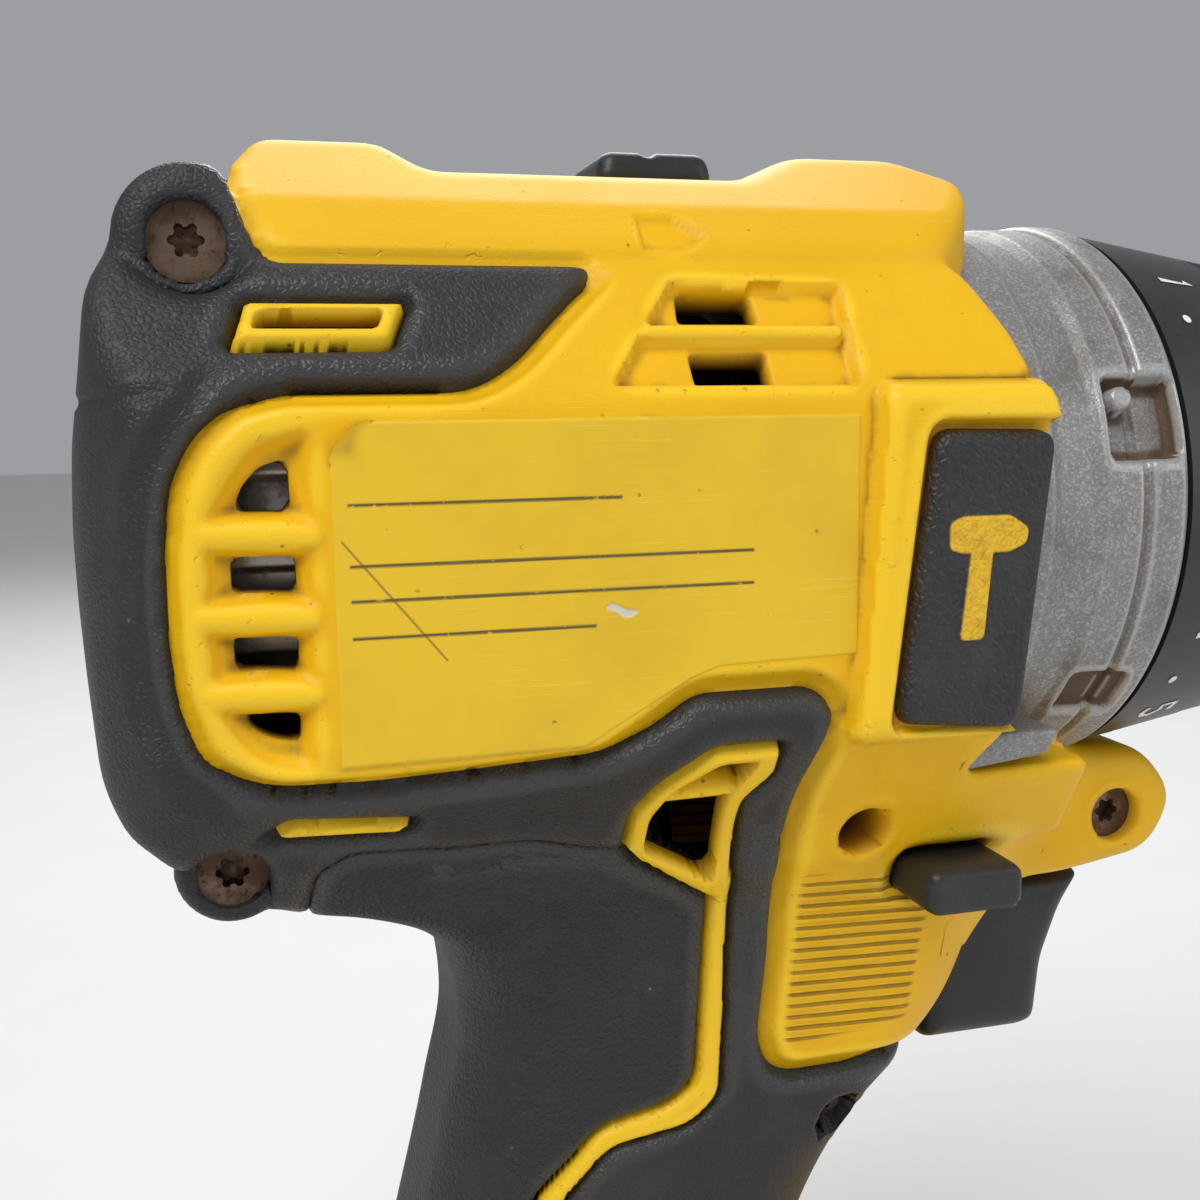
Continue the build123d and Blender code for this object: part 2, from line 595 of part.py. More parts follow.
def shell():
    """Both clamshell halves in one piece, before the parting plane splits them."""
    pocket = skin_layer(-LOOSE, RUBBER_DEPTH)
    hollows = []
    for field in (BUMPER_OUTLINE, GRIP_OUTLINE):
        with BuildPart() as rubber_pocket:
            add(rubber_region(field))
            add(pocket, mode=Mode.INTERSECT)
        hollows.append(rubber_pocket.part)
    with BuildPart() as handle_hollow:
        add(handle(SKIN))
        space = (BOARD_FLOOR, AXIS_Z + SWITCH_TOP + GAP)
        block((-SPAN, SPAN), (-REACH, REACH), space, mode=Mode.INTERSECT)
    with BuildPart() as motor_space:
        with BuildSketch(AXLE.offset(CAVITY_REAR + RUBBER_DEPTH)):
            outline(HEAD_SECTION, SKIN)
        extrude(amount=GEARBOX_BACK - CAVITY_REAR - RUBBER_DEPTH)
        for rib_x in (CORE_REAR + 1.0, CORE_REAR + CORE_LENGTH - 3.0):
            with BuildSketch(AXLE.offset(rib_x)):
                outline(HEAD_SECTION, SHELL_WALL)
                Circle(CORE_RADIUS + SEAT, mode=Mode.SUBTRACT)
            extrude(amount=RIB_WIDTH, mode=Mode.SUBTRACT)
        bearing_end = CAVITY_REAR + RUBBER_DEPTH + BEARING_WIDTH
        seat_radius = BEARING_RADIUS + SEAT
        tube(CAVITY_REAR, bearing_end, BEARING_RADIUS + SHELL_WALL, seat_radius, mode=Mode.SUBTRACT)
    with BuildPart() as posts:
        for x, z, seat in SCREWS:
            cross_bar(x, z, BOSS_RADIUS, -seat - HEAD_HEIGHT, SCREW_REACH + SHELL_WALL)
        add(outer(RUBBER_DEPTH), mode=Mode.INTERSECT)
    with BuildPart() as solid:
        # Skin, frame of the mode pad, front boss and foot
        add(outer(0.0))
        both_sides(FRAME_OUTLINE, HEAD_HALF_WIDTH + FRAME_PROUD)
        both_sides(FRONT_CUT, mode=Mode.SUBTRACT)
        both_sides(BOSS_OUTLINE, BOSS_HALF_WIDTH, corner=2.0)
        with BuildSketch(Plane.XY.offset(FOOT_BOTTOM)):
            with Locations(((FOOT_REAR + FOOT_FRONT) / 2, 0)):
                RectangleRounded(FOOT_FRONT - FOOT_REAR, 2 * FOOT_HALF_WIDTH, FOOT_CORNER)
        extrude(amount=FOOT_TOP - FOOT_BOTTOM, taper=FOOT_TAPER)
        # Rubber pockets, motor space and handle space, then the screw posts that cross them
        add([*hollows, motor_space.part, handle_hollow.part], mode=Mode.SUBTRACT)
        add(posts.part)
        # Seat of the gear case and room for the torque collar
        seats = [
            bar(GEARBOX_BACK, RING_X, CASE_REAR_RADIUS + SEAT, mode=Mode.PRIVATE),
            bar(CASE_STEP, RING_X, CASE_RADIUS + SEAT, mode=Mode.PRIVATE),
            bar(RING_X - PLATE, RING_X + 40.0, RING_RADIUS + LOOSE, mode=Mode.PRIVATE),
        ]
        openings = [*control_openings(), *vent_openings(), *foot_openings(), *screw_holes()]
        recesses = [*side_recesses(-1), *side_recesses(1)]
        add([*seats, *openings, *recesses], mode=Mode.SUBTRACT)
    return solid.part


# Clamshell halves, parted on the middle plane
shell_blank = shell()
with BuildPart() as housing_right:
    add(shell_blank)
    split(bisect_by=Plane.XZ, keep=Keep.TOP)
housing_right.part.label = "housing_right"
export_step(housing_right.part, "parts/housing_right.step")

with BuildPart() as housing_left:
    add(shell_blank)
    split(bisect_by=Plane.XZ, keep=Keep.BOTTOM)
housing_left.part.label = "housing_left"
export_step(housing_left.part, "parts/housing_left.step")


# Rubber moulded over each half: the smooth bumper and the grained grip
def rubber(points):
    """One rubber field on both halves, standing a little proud of the shell."""
    with BuildPart() as field:
        add(rubber_region(points, SEAT))
        add(skin_layer(-RUBBER_PROUD, RUBBER_DEPTH - SEAT), mode=Mode.INTERSECT)
        add([*screw_holes(), trigger_pocket()], mode=Mode.SUBTRACT)
    return field.part


for field_name, field_outline in (("bumper", BUMPER_OUTLINE), ("grip", GRIP_OUTLINE)):
    field_blank = rubber(field_outline)
    for hand, kept in (("right", Keep.TOP), ("left", Keep.BOTTOM)):
        with BuildPart() as rubber_half:
            add(field_blank)
            split(bisect_by=Plane.XZ, keep=kept)
        rubber_half.part.label = f"{field_name}_{hand}"
        export_step(rubber_half.part, f"parts/{field_name}_{hand}.step")

# Mode pads in their frames and the bare rating label
for hand, face in (("right", -1), ("left", 1)):
    with BuildPart() as mode_pad:
        with BuildSketch(Plane.XZ.offset(-face * PAD_PLANE)):
            outline([(x, AXIS_Z + z) for x, z in PAD_OUTLINE], SEAT)
        extrude(amount=-face * (PAD_FACE - PAD_PLANE))
    mode_pad.part.label = f"mode_pad_{hand}"
    export_step(mode_pad.part, f"parts/mode_pad_{hand}.step")

LABEL_THICKNESS = 0.2
LABEL_REAR = REAR_VENT_X + REAR_VENT_WIDTH + 2.4
LABEL_FRONT = FRAME_REAR - 0.4
LABEL_TOP = PANEL_TOP - 3.2
LABEL_OUTLINE = [
    (LABEL_REAR, LABEL_TOP),
    (LABEL_FRONT, LABEL_TOP),
    (LABEL_FRONT, ARCH_TOP + 2.0),
    (PANEL_LEFT + 46.5, ARCH_TOP + 1.4),
    (PANEL_LEFT + 37.0, PANEL_BOTTOM + 3.0),
    (LABEL_REAR, PANEL_BOTTOM + 3.0),
]
with BuildPart() as rating_label:
    with BuildSketch(SIDE.offset(HEAD_HALF_WIDTH)):
        outline(LABEL_OUTLINE)
    extrude(amount=LABEL_THICKNESS)
rating_label.part.label = "rating_label"
export_step(rating_label.part, "parts/rating_label.step")

# Clamshell screws with six-lobe recesses
LOBE_CIRCLE = 1.15
LOBE_RADIUS = 0.42
RECESS_DEPTH = 1.8
with BuildPart() as housing_screws:
    for x, z, seat in SCREWS:
        cross_bar(x, z, HEAD_RADIUS, -seat - HEAD_HEIGHT, -seat)
        cross_bar(x, z, SCREW_RADIUS, -seat, SCREW_REACH)
        with BuildSketch(SIDE.offset(seat + HEAD_HEIGHT)):
            with Locations((x, z)):
                Circle(LOBE_CIRCLE)
                with PolarLocations(LOBE_CIRCLE, 6):
                    Circle(LOBE_RADIUS)
        extrude(amount=-RECESS_DEPTH, mode=Mode.SUBTRACT)
housing_screws.part.label = "housing_screws"
export_step(housing_screws.part, "parts/housing_screws.step")

# Brushless motor
TOOTH_WIDTH = 4.4
YOKE_RADIUS = CORE_RADIUS - 3.8
TOOTH_TIP = ROTOR_RADIUS + 0.6
COIL_WIDTH = 9.0
COIL_OVERHANG = 3.5
POLES = 6
CORE_FRONT = CORE_REAR + CORE_LENGTH
FAN_RADIUS = 21.5
FAN_REAR = GEARBOX_REAR - 10.0
FAN_WIDTH = 7.0
FAN_BLADES = 11
PLATE_BEARING = 6.5

with BuildPart() as stator_core:
    tube(CORE_REAR, CORE_FRONT, CORE_RADIUS, YOKE_RADIUS)
    with BuildSketch(AXLE.offset(CORE_REAR)):
        with PolarLocations((TOOTH_TIP + YOKE_RADIUS) / 2, POLES):
            Rectangle(YOKE_RADIUS - TOOTH_TIP + 1.0, TOOTH_WIDTH)
        Circle(TOOTH_TIP, mode=Mode.SUBTRACT)
    extrude(amount=CORE_LENGTH)
stator_core.part.label = "stator_core"
export_step(stator_core.part, "parts/stator_core.step")

with BuildPart() as stator_windings:
    coil_middle = (TOOTH_TIP + YOKE_RADIUS) / 2 + 0.4
    coil_depth = YOKE_RADIUS - TOOTH_TIP - 2.4
    with BuildSketch(AXLE.offset(CORE_REAR - COIL_OVERHANG)):
        with PolarLocations(coil_middle, POLES):
            RectangleRounded(coil_depth, COIL_WIDTH, 1.0)
    extrude(amount=CORE_LENGTH + 2 * COIL_OVERHANG)
    with BuildSketch(AXLE.offset(CORE_REAR - SEAT)):
        with PolarLocations(coil_middle, POLES):
            Rectangle(coil_depth + 4.0, TOOTH_WIDTH + 2 * SEAT)
    extrude(amount=CORE_LENGTH + 2 * SEAT, mode=Mode.SUBTRACT)
stator_windings.part.label = "stator_windings"
export_step(stator_windings.part, "parts/stator_windings.step")

with BuildPart() as sensor_board:
    tube(CORE_REAR - COIL_OVERHANG - 1.8, CORE_REAR - COIL_OVERHANG - 0.2, YOKE_RADIUS, BEARING_RADIUS)
sensor_board.part.label = "sensor_board"
export_step(sensor_board.part, "parts/sensor_board.step")

REAR_BEARING_X = CAVITY_REAR + RUBBER_DEPTH + GAP
with BuildPart() as motor_bearings:
    tube(REAR_BEARING_X, REAR_BEARING_X + BEARING_WIDTH - LOOSE, BEARING_RADIUS, MOTOR_SHAFT + RUN)
    tube(GEARBOX_REAR, GEARBOX_REAR + PLATE, PLATE_BEARING, MOTOR_SHAFT + RUN)
motor_bearings.part.label = "motor_bearings"
export_step(motor_bearings.part, "parts/motor_bearings.step")

with BuildPart() as motor_end_plate:
    tube(GEARBOX_REAR, GEARBOX_REAR + PLATE, CASE_REAR_RADIUS - SEAT, PLATE_BEARING + SEAT)
motor_end_plate.part.label = "motor_end_plate"
export_step(motor_end_plate.part, "parts/motor_end_plate.step")

# Planetary gears: straight-flanked teeth with room to roll
ADDENDUM = 0.7 * MODULE
DEDENDUM = 1.15 * MODULE
FLANK = math.tan(math.radians(22.0))
HALF_TOOTH = 0.2 * math.pi * MODULE
HALF_SPACE = 0.3 * math.pi * MODULE
SIDE_PLAY = 0.6
ORBIT = MODULE * (SUN_TEETH + PLANET_TEETH) / 2
STAGE_1 = GEARBOX_REAR + PLATE + SIDE_PLAY
CARRIER_X = STAGE_1 + GEAR_WIDTH + SIDE_PLAY
STAGE_2 = CARRIER_X + PLATE + SIDE_PLAY
FLANGE_X = STAGE_2 + GEAR_WIDTH + SIDE_PLAY
FLANGE_WIDTH = 4.0
CARRIER_RADIUS = ORBIT + 5.0
CASE_INNER = CASE_REAR_RADIUS - CASE_WALL
FRONT_WALL_X = FLANGE_X + FLANGE_WIDTH + 1.6
SPINDLE_BEARING_RADIUS = 14.0
SPINDLE_BEARING_WIDTH = 6.0
NECK_INNER = NECK_RADIUS - 2.4


def gear_points(teeth, inner_reach, outer_reach, half_width):
    """Outline of a toothed wheel: each tooth is a trapezium about its pitch circle."""
    pitch_radius = MODULE * teeth / 2
    points = []
    for tooth in range(teeth):
        middle = 2 * math.pi * tooth / teeth
        for reach, side in ((-inner_reach, -1), (outer_reach, -1), (outer_reach, 1), (-inner_reach, 1)):
            radius = pitch_radius + reach
            angle = middle + side * (half_width - reach * FLANK) / radius
            points.append((radius * math.cos(angle), radius * math.sin(angle)))
    return points


SUN_POINTS = gear_points(SUN_TEETH, DEDENDUM, ADDENDUM, HALF_TOOTH)
PLANET_POINTS = gear_points(PLANET_TEETH, DEDENDUM, ADDENDUM, HALF_TOOTH)
RING_POINTS = gear_points(RING_TEETH, ADDENDUM, DEDENDUM, HALF_SPACE)

with BuildPart() as rotor:
    bar(REAR_BEARING_X + RUN, STAGE_1 + GEAR_WIDTH, MOTOR_SHAFT)
    bar(CORE_REAR, CORE_FRONT, ROTOR_RADIUS)
    with BuildSketch(AXLE.offset(STAGE_1)):
        Polygon(*SUN_POINTS, align=None)
    extrude(amount=GEAR_WIDTH)
rotor.part.label = "rotor"
export_step(rotor.part, "parts/rotor.step")

with BuildPart() as fan:
    tube(FAN_REAR, FAN_REAR + FAN_WIDTH, 2 * MOTOR_SHAFT, MOTOR_SHAFT + RUN)
    tube(FAN_REAR + FAN_WIDTH - 1.2, FAN_REAR + FAN_WIDTH, FAN_RADIUS, MOTOR_SHAFT + RUN)
    with BuildSketch(AXLE.offset(FAN_REAR)):
        with PolarLocations((FAN_RADIUS + 2 * MOTOR_SHAFT) / 2, FAN_BLADES):
            Rectangle(FAN_RADIUS - 2 * MOTOR_SHAFT, 1.2, rotation=18.0)
        Circle(FAN_RADIUS, mode=Mode.INTERSECT)
    extrude(amount=FAN_WIDTH)
fan.part.label = "fan"
export_step(fan.part, "parts/fan.step")

with BuildPart() as ring_gears:
    for stage_x in (STAGE_1, STAGE_2):
        with BuildSketch(AXLE.offset(stage_x)):
            Circle(CASE_INNER - SEAT)
            Polygon(*RING_POINTS, align=None, mode=Mode.SUBTRACT)
        extrude(amount=GEAR_WIDTH)
ring_gears.part.label = "ring_gears"
export_step(ring_gears.part, "parts/ring_gears.step")

for stage, stage_x in ((1, STAGE_1), (2, STAGE_2)):
    for planet in range(PLANETS):
        turn = 360.0 / PLANETS * planet
        with BuildPart() as planet_gear:
            with BuildSketch(AXLE.offset(stage_x)):
                with PolarLocations(ORBIT, 1, start_angle=turn):
                    Polygon(*PLANET_POINTS, align=None)
                    Circle(PIN_RADIUS + RUN, mode=Mode.SUBTRACT)
            extrude(amount=GEAR_WIDTH)
        planet_gear.part.label = f"planet_{stage}_{planet + 1}"
        export_step(planet_gear.part, f"parts/planet_{stage}_{planet + 1}.step")

with BuildPart() as carrier:
    bar(CARRIER_X, CARRIER_X + PLATE, CARRIER_RADIUS)
    with BuildSketch(AXLE.offset(STAGE_1)):
        with PolarLocations(ORBIT, PLANETS):
            Circle(PIN_RADIUS)
    extrude(amount=CARRIER_X - STAGE_1)
    with BuildSketch(AXLE.offset(CARRIER_X + PLATE)):
        Polygon(*SUN_POINTS, align=None)
    extrude(amount=GEAR_WIDTH + SIDE_PLAY)
carrier.part.label = "carrier"
export_step(carrier.part, "parts/carrier.step")

THREAD_RADIUS = SPINDLE_RADIUS - 1.1
THREAD_END = CHUCK_REAR + 17.0
RETAINER_RADIUS = 2.9
with BuildPart() as spindle:
    bar(FLANGE_X, FLANGE_X + FLANGE_WIDTH, CARRIER_RADIUS)
    with BuildSketch(AXLE.offset(STAGE_2)):
        with PolarLocations(ORBIT, PLANETS):
            Circle(PIN_RADIUS)
    extrude(amount=FLANGE_X - STAGE_2)
    bar(FLANGE_X, CHUCK_REAR, SPINDLE_RADIUS)
    bar(CHUCK_REAR, THREAD_END, THREAD_RADIUS)
    bar(CHUCK_REAR + 2.0, THREAD_END, RETAINER_RADIUS + SEAT, mode=Mode.SUBTRACT)
spindle.part.label = "spindle"
export_step(spindle.part, "parts/spindle.step")

# Cast gear case with its front ring and neck
BEARING_X = FRONT_WALL_X + 1.0
with BuildPart() as gear_case:
    bar(GEARBOX_REAR + PLATE, CASE_STEP, CASE_REAR_RADIUS)
    bar(CASE_STEP + SEAT, RING_X, CASE_RADIUS)
    bar(CASE_STEP, CASE_STEP + SEAT, CASE_REAR_RADIUS)
    bar(RING_X - PLATE, RING_X, RING_RADIUS)
    bar(RING_X, NECK_FRONT, NECK_RADIUS)
    bar(GEARBOX_REAR + PLATE, FRONT_WALL_X, CASE_INNER, mode=Mode.SUBTRACT)
    bar(BEARING_X, BEARING_X + SPINDLE_BEARING_WIDTH, SPINDLE_BEARING_RADIUS + SEAT, mode=Mode.SUBTRACT)
    bar(FRONT_WALL_X - 1.0, NECK_FRONT + 1.0, NECK_INNER, mode=Mode.SUBTRACT)
gear_case.part.label = "gear_case"
export_step(gear_case.part, "parts/gear_case.step")

with BuildPart() as spindle_bearing:
    tube(BEARING_X, BEARING_X + SPINDLE_BEARING_WIDTH, SPINDLE_BEARING_RADIUS, SPINDLE_RADIUS + RUN)
spindle_bearing.part.label = "spindle_bearing"
export_step(spindle_bearing.part, "parts/spindle_bearing.step")

BUSH_WIDTH = 4.0
with BuildPart() as spindle_bush:
    tube(NECK_FRONT - BUSH_WIDTH - 1.0, NECK_FRONT - 1.0, NECK_INNER - SEAT, SPINDLE_RADIUS + RUN)
spindle_bush.part.label = "spindle_bush"
export_step(spindle_bush.part, "parts/spindle_bush.step")

# Hammer ratchets: one fixed in the neck, one on the spindle, held apart in drill mode
RATCHET_TEETH = 12
RATCHET_WIDTH = 4.0
TOOTH_HEIGHT = 1.2
FIXED_RATCHET_X = BEARING_X + SPINDLE_BEARING_WIDTH + 0.2
TURNING_RATCHET_X = FIXED_RATCHET_X + RATCHET_WIDTH + 2 * TOOTH_HEIGHT + GAP
with BuildPart() as fixed_ratchet:
    tube(FIXED_RATCHET_X, FIXED_RATCHET_X + RATCHET_WIDTH, NECK_INNER - SEAT, SPINDLE_RADIUS + LOOSE)
    with BuildSketch(AXLE.offset(FIXED_RATCHET_X + RATCHET_WIDTH)):
        with PolarLocations((NECK_INNER + SPINDLE_RADIUS) / 2, RATCHET_TEETH):
            Rectangle(NECK_INNER - SPINDLE_RADIUS - 2.0, 1.8)
    extrude(amount=TOOTH_HEIGHT, taper=20.0)
fixed_ratchet.part.label = "fixed_ratchet"
export_step(fixed_ratchet.part, "parts/fixed_ratchet.step")

with BuildPart() as turning_ratchet:
    tube(TURNING_RATCHET_X, TURNING_RATCHET_X + RATCHET_WIDTH, NECK_INNER - LOOSE, SPINDLE_RADIUS + RUN)
    with BuildSketch(AXLE.offset(TURNING_RATCHET_X)):
        with PolarLocations((NECK_INNER + SPINDLE_RADIUS) / 2, RATCHET_TEETH):
            Rectangle(NECK_INNER - SPINDLE_RADIUS - 2.0, 1.8)
    extrude(amount=-TOOTH_HEIGHT, taper=20.0)
turning_ratchet.part.label = "turning_ratchet"
export_step(turning_ratchet.part, "parts/turning_ratchet.step")

# Torque clutch: spring, nut on the neck and the collar that turns it
SPRING_COIL = 18.0
SPRING_WIRE = 1.2
SPRING_TURNS = 4
SPRING_PITCH = 3.0
NUT_WIDTH = 3.0
SPRING_X = RING_X + SPRING_WIRE + 0.1
NUT_X = SPRING_X + SPRING_TURNS * SPRING_PITCH + SPRING_WIRE + 0.1
with BuildPart() as clutch_spring:
    with BuildLine() as coil:
        rise = SPRING_TURNS * SPRING_PITCH
        Helix(SPRING_PITCH, rise, SPRING_COIL, center=(SPRING_X, 0, AXIS_Z), direction=(1, 0, 0))
    with BuildSketch(Plane(origin=coil.line @ 0, z_dir=coil.line % 0)):
        Circle(SPRING_WIRE)
    sweep(is_frenet=True)
clutch_spring.part.label = "clutch_spring"
export_step(clutch_spring.part, "parts/clutch_spring.step")

with BuildPart() as clutch_nut:
    tube(NUT_X, NUT_X + NUT_WIDTH, SPRING_COIL + 2 * SPRING_WIRE, NECK_RADIUS + SEAT)
clutch_nut.part.label = "clutch_nut"
export_step(clutch_nut.part, "parts/clutch_nut.step")

COLLAR_REAR = RING_X + LOOSE
COLLAR_FLUTES = 16
FLUTE_RADIUS = 2.4
with BuildPart() as torque_collar:
    with BuildSketch(Plane.XZ):
        outline(
            [
                (COLLAR_REAR, AXIS_Z + COLLAR_RADIUS - COLLAR_WALL),
                (COLLAR_REAR, AXIS_Z + COLLAR_RADIUS),
                (COLLAR_FRONT - 2.0, AXIS_Z + COLLAR_NOSE_RADIUS + 0.3),
                (COLLAR_FRONT, AXIS_Z + COLLAR_NOSE_RADIUS - 1.6),
                (COLLAR_FRONT, AXIS_Z + NECK_RADIUS + RUN),
                (COLLAR_FRONT - PLATE, AXIS_Z + NECK_RADIUS + RUN),
                (COLLAR_FRONT - PLATE, AXIS_Z + COLLAR_NOSE_RADIUS - COLLAR_WALL),
            ]
        )
    revolve(axis=TURN_AXIS)
    with BuildSketch(AXLE.offset((COLLAR_REAR + COLLAR_FRONT) / 2 + 1.0)):
        with PolarLocations(COLLAR_NOSE_RADIUS + FLUTE_RADIUS + 0.4, COLLAR_FLUTES):
            Circle(FLUTE_RADIUS)
    extrude(amount=COLLAR_FRONT, mode=Mode.SUBTRACT)
torque_collar.part.label = "torque_collar"
export_step(torque_collar.part, "parts/torque_collar.step")

# Keyless chuck
JAW_TIP_X = NOSE_X - 3.0
JAW_TIP_RADIUS = 4.6
JAW_OPENING = 3.5
JAW_SLOPE = math.radians(JAW_ANGLE)
OPENING_SLIDE = JAW_OPENING / math.sin(JAW_SLOPE)
LAND_HALF_ANGLE = 20.0
JAW_APEX = 2 * GRIPPED_RADIUS / math.sqrt(3) * math.sin(math.radians(60.0 - LAND_HALF_ANGLE))
JAW_STUB = 4.0
CHUCK_NUT_X = NOSE_X - 27.0
CHUCK_NUT_WIDTH = 4.0
CHUCK_NUT_INNER = CHUCK_BODY_RADIUS - 0.4
SLEEVE_REAR = CHUCK_REAR + 5.0
SLEEVE_INNER = SLEEVE_RADIUS - SLEEVE_WALL
SLEEVE_FLUTES = 22
REAR_RING_WIDTH = 4.5


def jaw_plane(turn):
    """Plane across one jaw at its tip, facing out along the jaw."""
    out_y = math.cos(math.radians(turn))
    out_z = math.sin(math.radians(turn))
    tip = (JAW_TIP_X, JAW_TIP_RADIUS * out_y, AXIS_Z + JAW_TIP_RADIUS * out_z)
    inward = -math.sin(JAW_SLOPE)
    return Plane(origin=tip, z_dir=(math.cos(JAW_SLOPE), inward * out_y, inward * out_z))


JAW_TURNS = [90.0 + 360.0 / PLANETS * jaw for jaw in range(PLANETS)]
with BuildPart() as chuck_body:
    with BuildSketch(Plane.XZ):
        outline(
            [
                (CHUCK_REAR, AXIS_Z),
                (CHUCK_REAR, AXIS_Z + CHUCK_BODY_RADIUS),
                (SLEEVE_FRONT + LOOSE, AXIS_Z + CHUCK_BODY_RADIUS),
                (NOSE_X, AXIS_Z + NOSE_RADIUS),
                (NOSE_X, AXIS_Z),
            ]
        )
    revolve(axis=TURN_AXIS)
    bar(CHUCK_REAR, THREAD_END + SEAT, THREAD_RADIUS + SEAT, mode=Mode.SUBTRACT)
    bar(THREAD_END + SEAT, NOSE_X, BIT_BORE, mode=Mode.SUBTRACT)
    with BuildSketch(AXLE.offset(CHUCK_NUT_X - GAP)):
        Circle(CHUCK_BODY_RADIUS + 1.0)
        Circle(CHUCK_NUT_INNER - GAP, mode=Mode.SUBTRACT)
    extrude(amount=CHUCK_NUT_WIDTH + 2 * GAP, mode=Mode.SUBTRACT)
    for turn in JAW_TURNS:
        with BuildSketch(jaw_plane(turn).offset(-JAW_LENGTH - OPENING_SLIDE - 1.0)):
            Circle(JAW_RADIUS + RUN)
        extrude(amount=JAW_LENGTH + OPENING_SLIDE + 20.0, mode=Mode.SUBTRACT)
chuck_body.part.label = "chuck_body"
export_step(chuck_body.part, "parts/chuck_body.step")

for jaw, turn in enumerate(JAW_TURNS):
    with BuildPart() as chuck_jaw:
        with BuildSketch(jaw_plane(turn).offset(-JAW_LENGTH)):
            Circle(JAW_RADIUS)
        extrude(amount=JAW_LENGTH + JAW_STUB)
        with BuildSketch(AXLE.offset(CHUCK_REAR)):
            with PolarLocations(JAW_APEX, 1, start_angle=turn):
                Polygon((0, 0), (REACH, REACH * math.sqrt(3)), (REACH, -REACH * math.sqrt(3)), align=None)
        extrude(amount=JAW_TIP_X - CHUCK_REAR, mode=Mode.INTERSECT)
        bar(CHUCK_REAR, NOSE_X, GRIPPED_RADIUS, mode=Mode.SUBTRACT)
    chuck_jaw.part.label = f"chuck_jaw_{jaw + 1}"
    export_step(chuck_jaw.part, f"parts/chuck_jaw_{jaw + 1}.step")

with BuildPart() as chuck_nut:
    tube(CHUCK_NUT_X, CHUCK_NUT_X + CHUCK_NUT_WIDTH, SLEEVE_INNER - SEAT, CHUCK_NUT_INNER)
chuck_nut.part.label = "chuck_nut"
export_step(chuck_nut.part, "parts/chuck_nut.step")

with BuildPart() as chuck_sleeve:
    with BuildSketch(Plane.XZ):
        outline(
            [
                (SLEEVE_REAR, AXIS_Z + SLEEVE_INNER),
                (SLEEVE_REAR, AXIS_Z + SLEEVE_RADIUS - 0.6),
                (SLEEVE_REAR + 1.0, AXIS_Z + SLEEVE_RADIUS),
                (SLEEVE_FRONT - 10.0, AXIS_Z + SLEEVE_RADIUS),
                (SLEEVE_FRONT, AXIS_Z + CHUCK_BODY_RADIUS + 1.6),
                (SLEEVE_FRONT, AXIS_Z + CHUCK_BODY_RADIUS + GAP),
                (CHUCK_NUT_X + CHUCK_NUT_WIDTH + SEAT, AXIS_Z + CHUCK_BODY_RADIUS + GAP),
                (CHUCK_NUT_X + CHUCK_NUT_WIDTH + SEAT, AXIS_Z + SLEEVE_INNER),
            ]
        )
    revolve(axis=TURN_AXIS)
    with BuildSketch(AXLE.offset(SLEEVE_REAR + 6.0)):
        with PolarLocations(SLEEVE_RADIUS + 0.6, SLEEVE_FLUTES):
            Circle(1.3)
    extrude(amount=SLEEVE_FRONT - SLEEVE_REAR, mode=Mode.SUBTRACT)
chuck_sleeve.part.label = "chuck_sleeve"
export_step(chuck_sleeve.part, "parts/chuck_sleeve.step")

with BuildPart() as chuck_rear_ring:
    tube(CHUCK_REAR, CHUCK_REAR + REAR_RING_WIDTH, SLEEVE_RADIUS - 0.8, CHUCK_BODY_RADIUS + SEAT)
chuck_rear_ring.part.label = "chuck_rear_ring"
export_step(chuck_rear_ring.part, "parts/chuck_rear_ring.step")

with BuildPart() as chuck_screw:
    bar(CHUCK_REAR + 3.0, THREAD_END + SEAT, RETAINER_RADIUS)
    bar(THREAD_END + SEAT, THREAD_END + 3.4, RETAINER_RADIUS + 1.6)
chuck_screw.part.label = "chuck_screw"
export_step(chuck_screw.part, "parts/chuck_screw.step")

# Controls
STEM_RADIUS = 3.0
STEM_Z = (SWITCH_TOP + SWITCH_BOTTOM) / 2
STEM_END = SWITCH_FRONT - 9.0
with BuildPart() as trigger:
    both_sides(
        [
            (TRIGGER_REAR, TRIGGER_TOP),
            (RING_X + 6.0, TRIGGER_TOP),
            (RING_X + 3.2, TRIGGER_TOP - 4.5),
            (RING_X + 0.8, TRIGGER_TOP - 11.0),
            (RING_X, TRIGGER_BOTTOM + 1.0),
            (RING_X - 2.0, TRIGGER_BOTTOM),
            (TRIGGER_REAR + 2.0, TRIGGER_BOTTOM),
        ],
        TRIGGER_HALF_WIDTH,
        corner=0.9,
    )
    bar(STEM_END, TRIGGER_REAR + 1.0, STEM_RADIUS, z=STEM_Z)
trigger.part.label = "trigger"
export_step(trigger.part, "parts/trigger.step")

with BuildPart() as trigger_switch:
    block(
        (SWITCH_REAR, SWITCH_FRONT),
        (-SWITCH_HALF_WIDTH, SWITCH_HALF_WIDTH),
        (AXIS_Z + SWITCH_BOTTOM, AXIS_Z + SWITCH_TOP),
    )
    bar(STEM_END - TRIGGER_TRAVEL - 1.0, SWITCH_FRONT, STEM_RADIUS + RUN, z=STEM_Z, mode=Mode.SUBTRACT)
trigger_switch.part.label = "trigger_switch"
export_step(trigger_switch.part, "parts/trigger_switch.step")

with BuildPart() as direction_button:
    with BuildSketch(SIDE.offset(BUTTON_PROUD)):
        with Locations((BUTTON_X + BUTTON_WIDTH / 2, BUTTON_Z)):
            RectangleRounded(BUTTON_WIDTH, BUTTON_HEIGHT, 2.0)
    extrude(amount=-2 * BUTTON_PROUD + BUTTON_TRAVEL)
direction_button.part.label = "direction_button"
export_step(direction_button.part, "parts/direction_button.step")

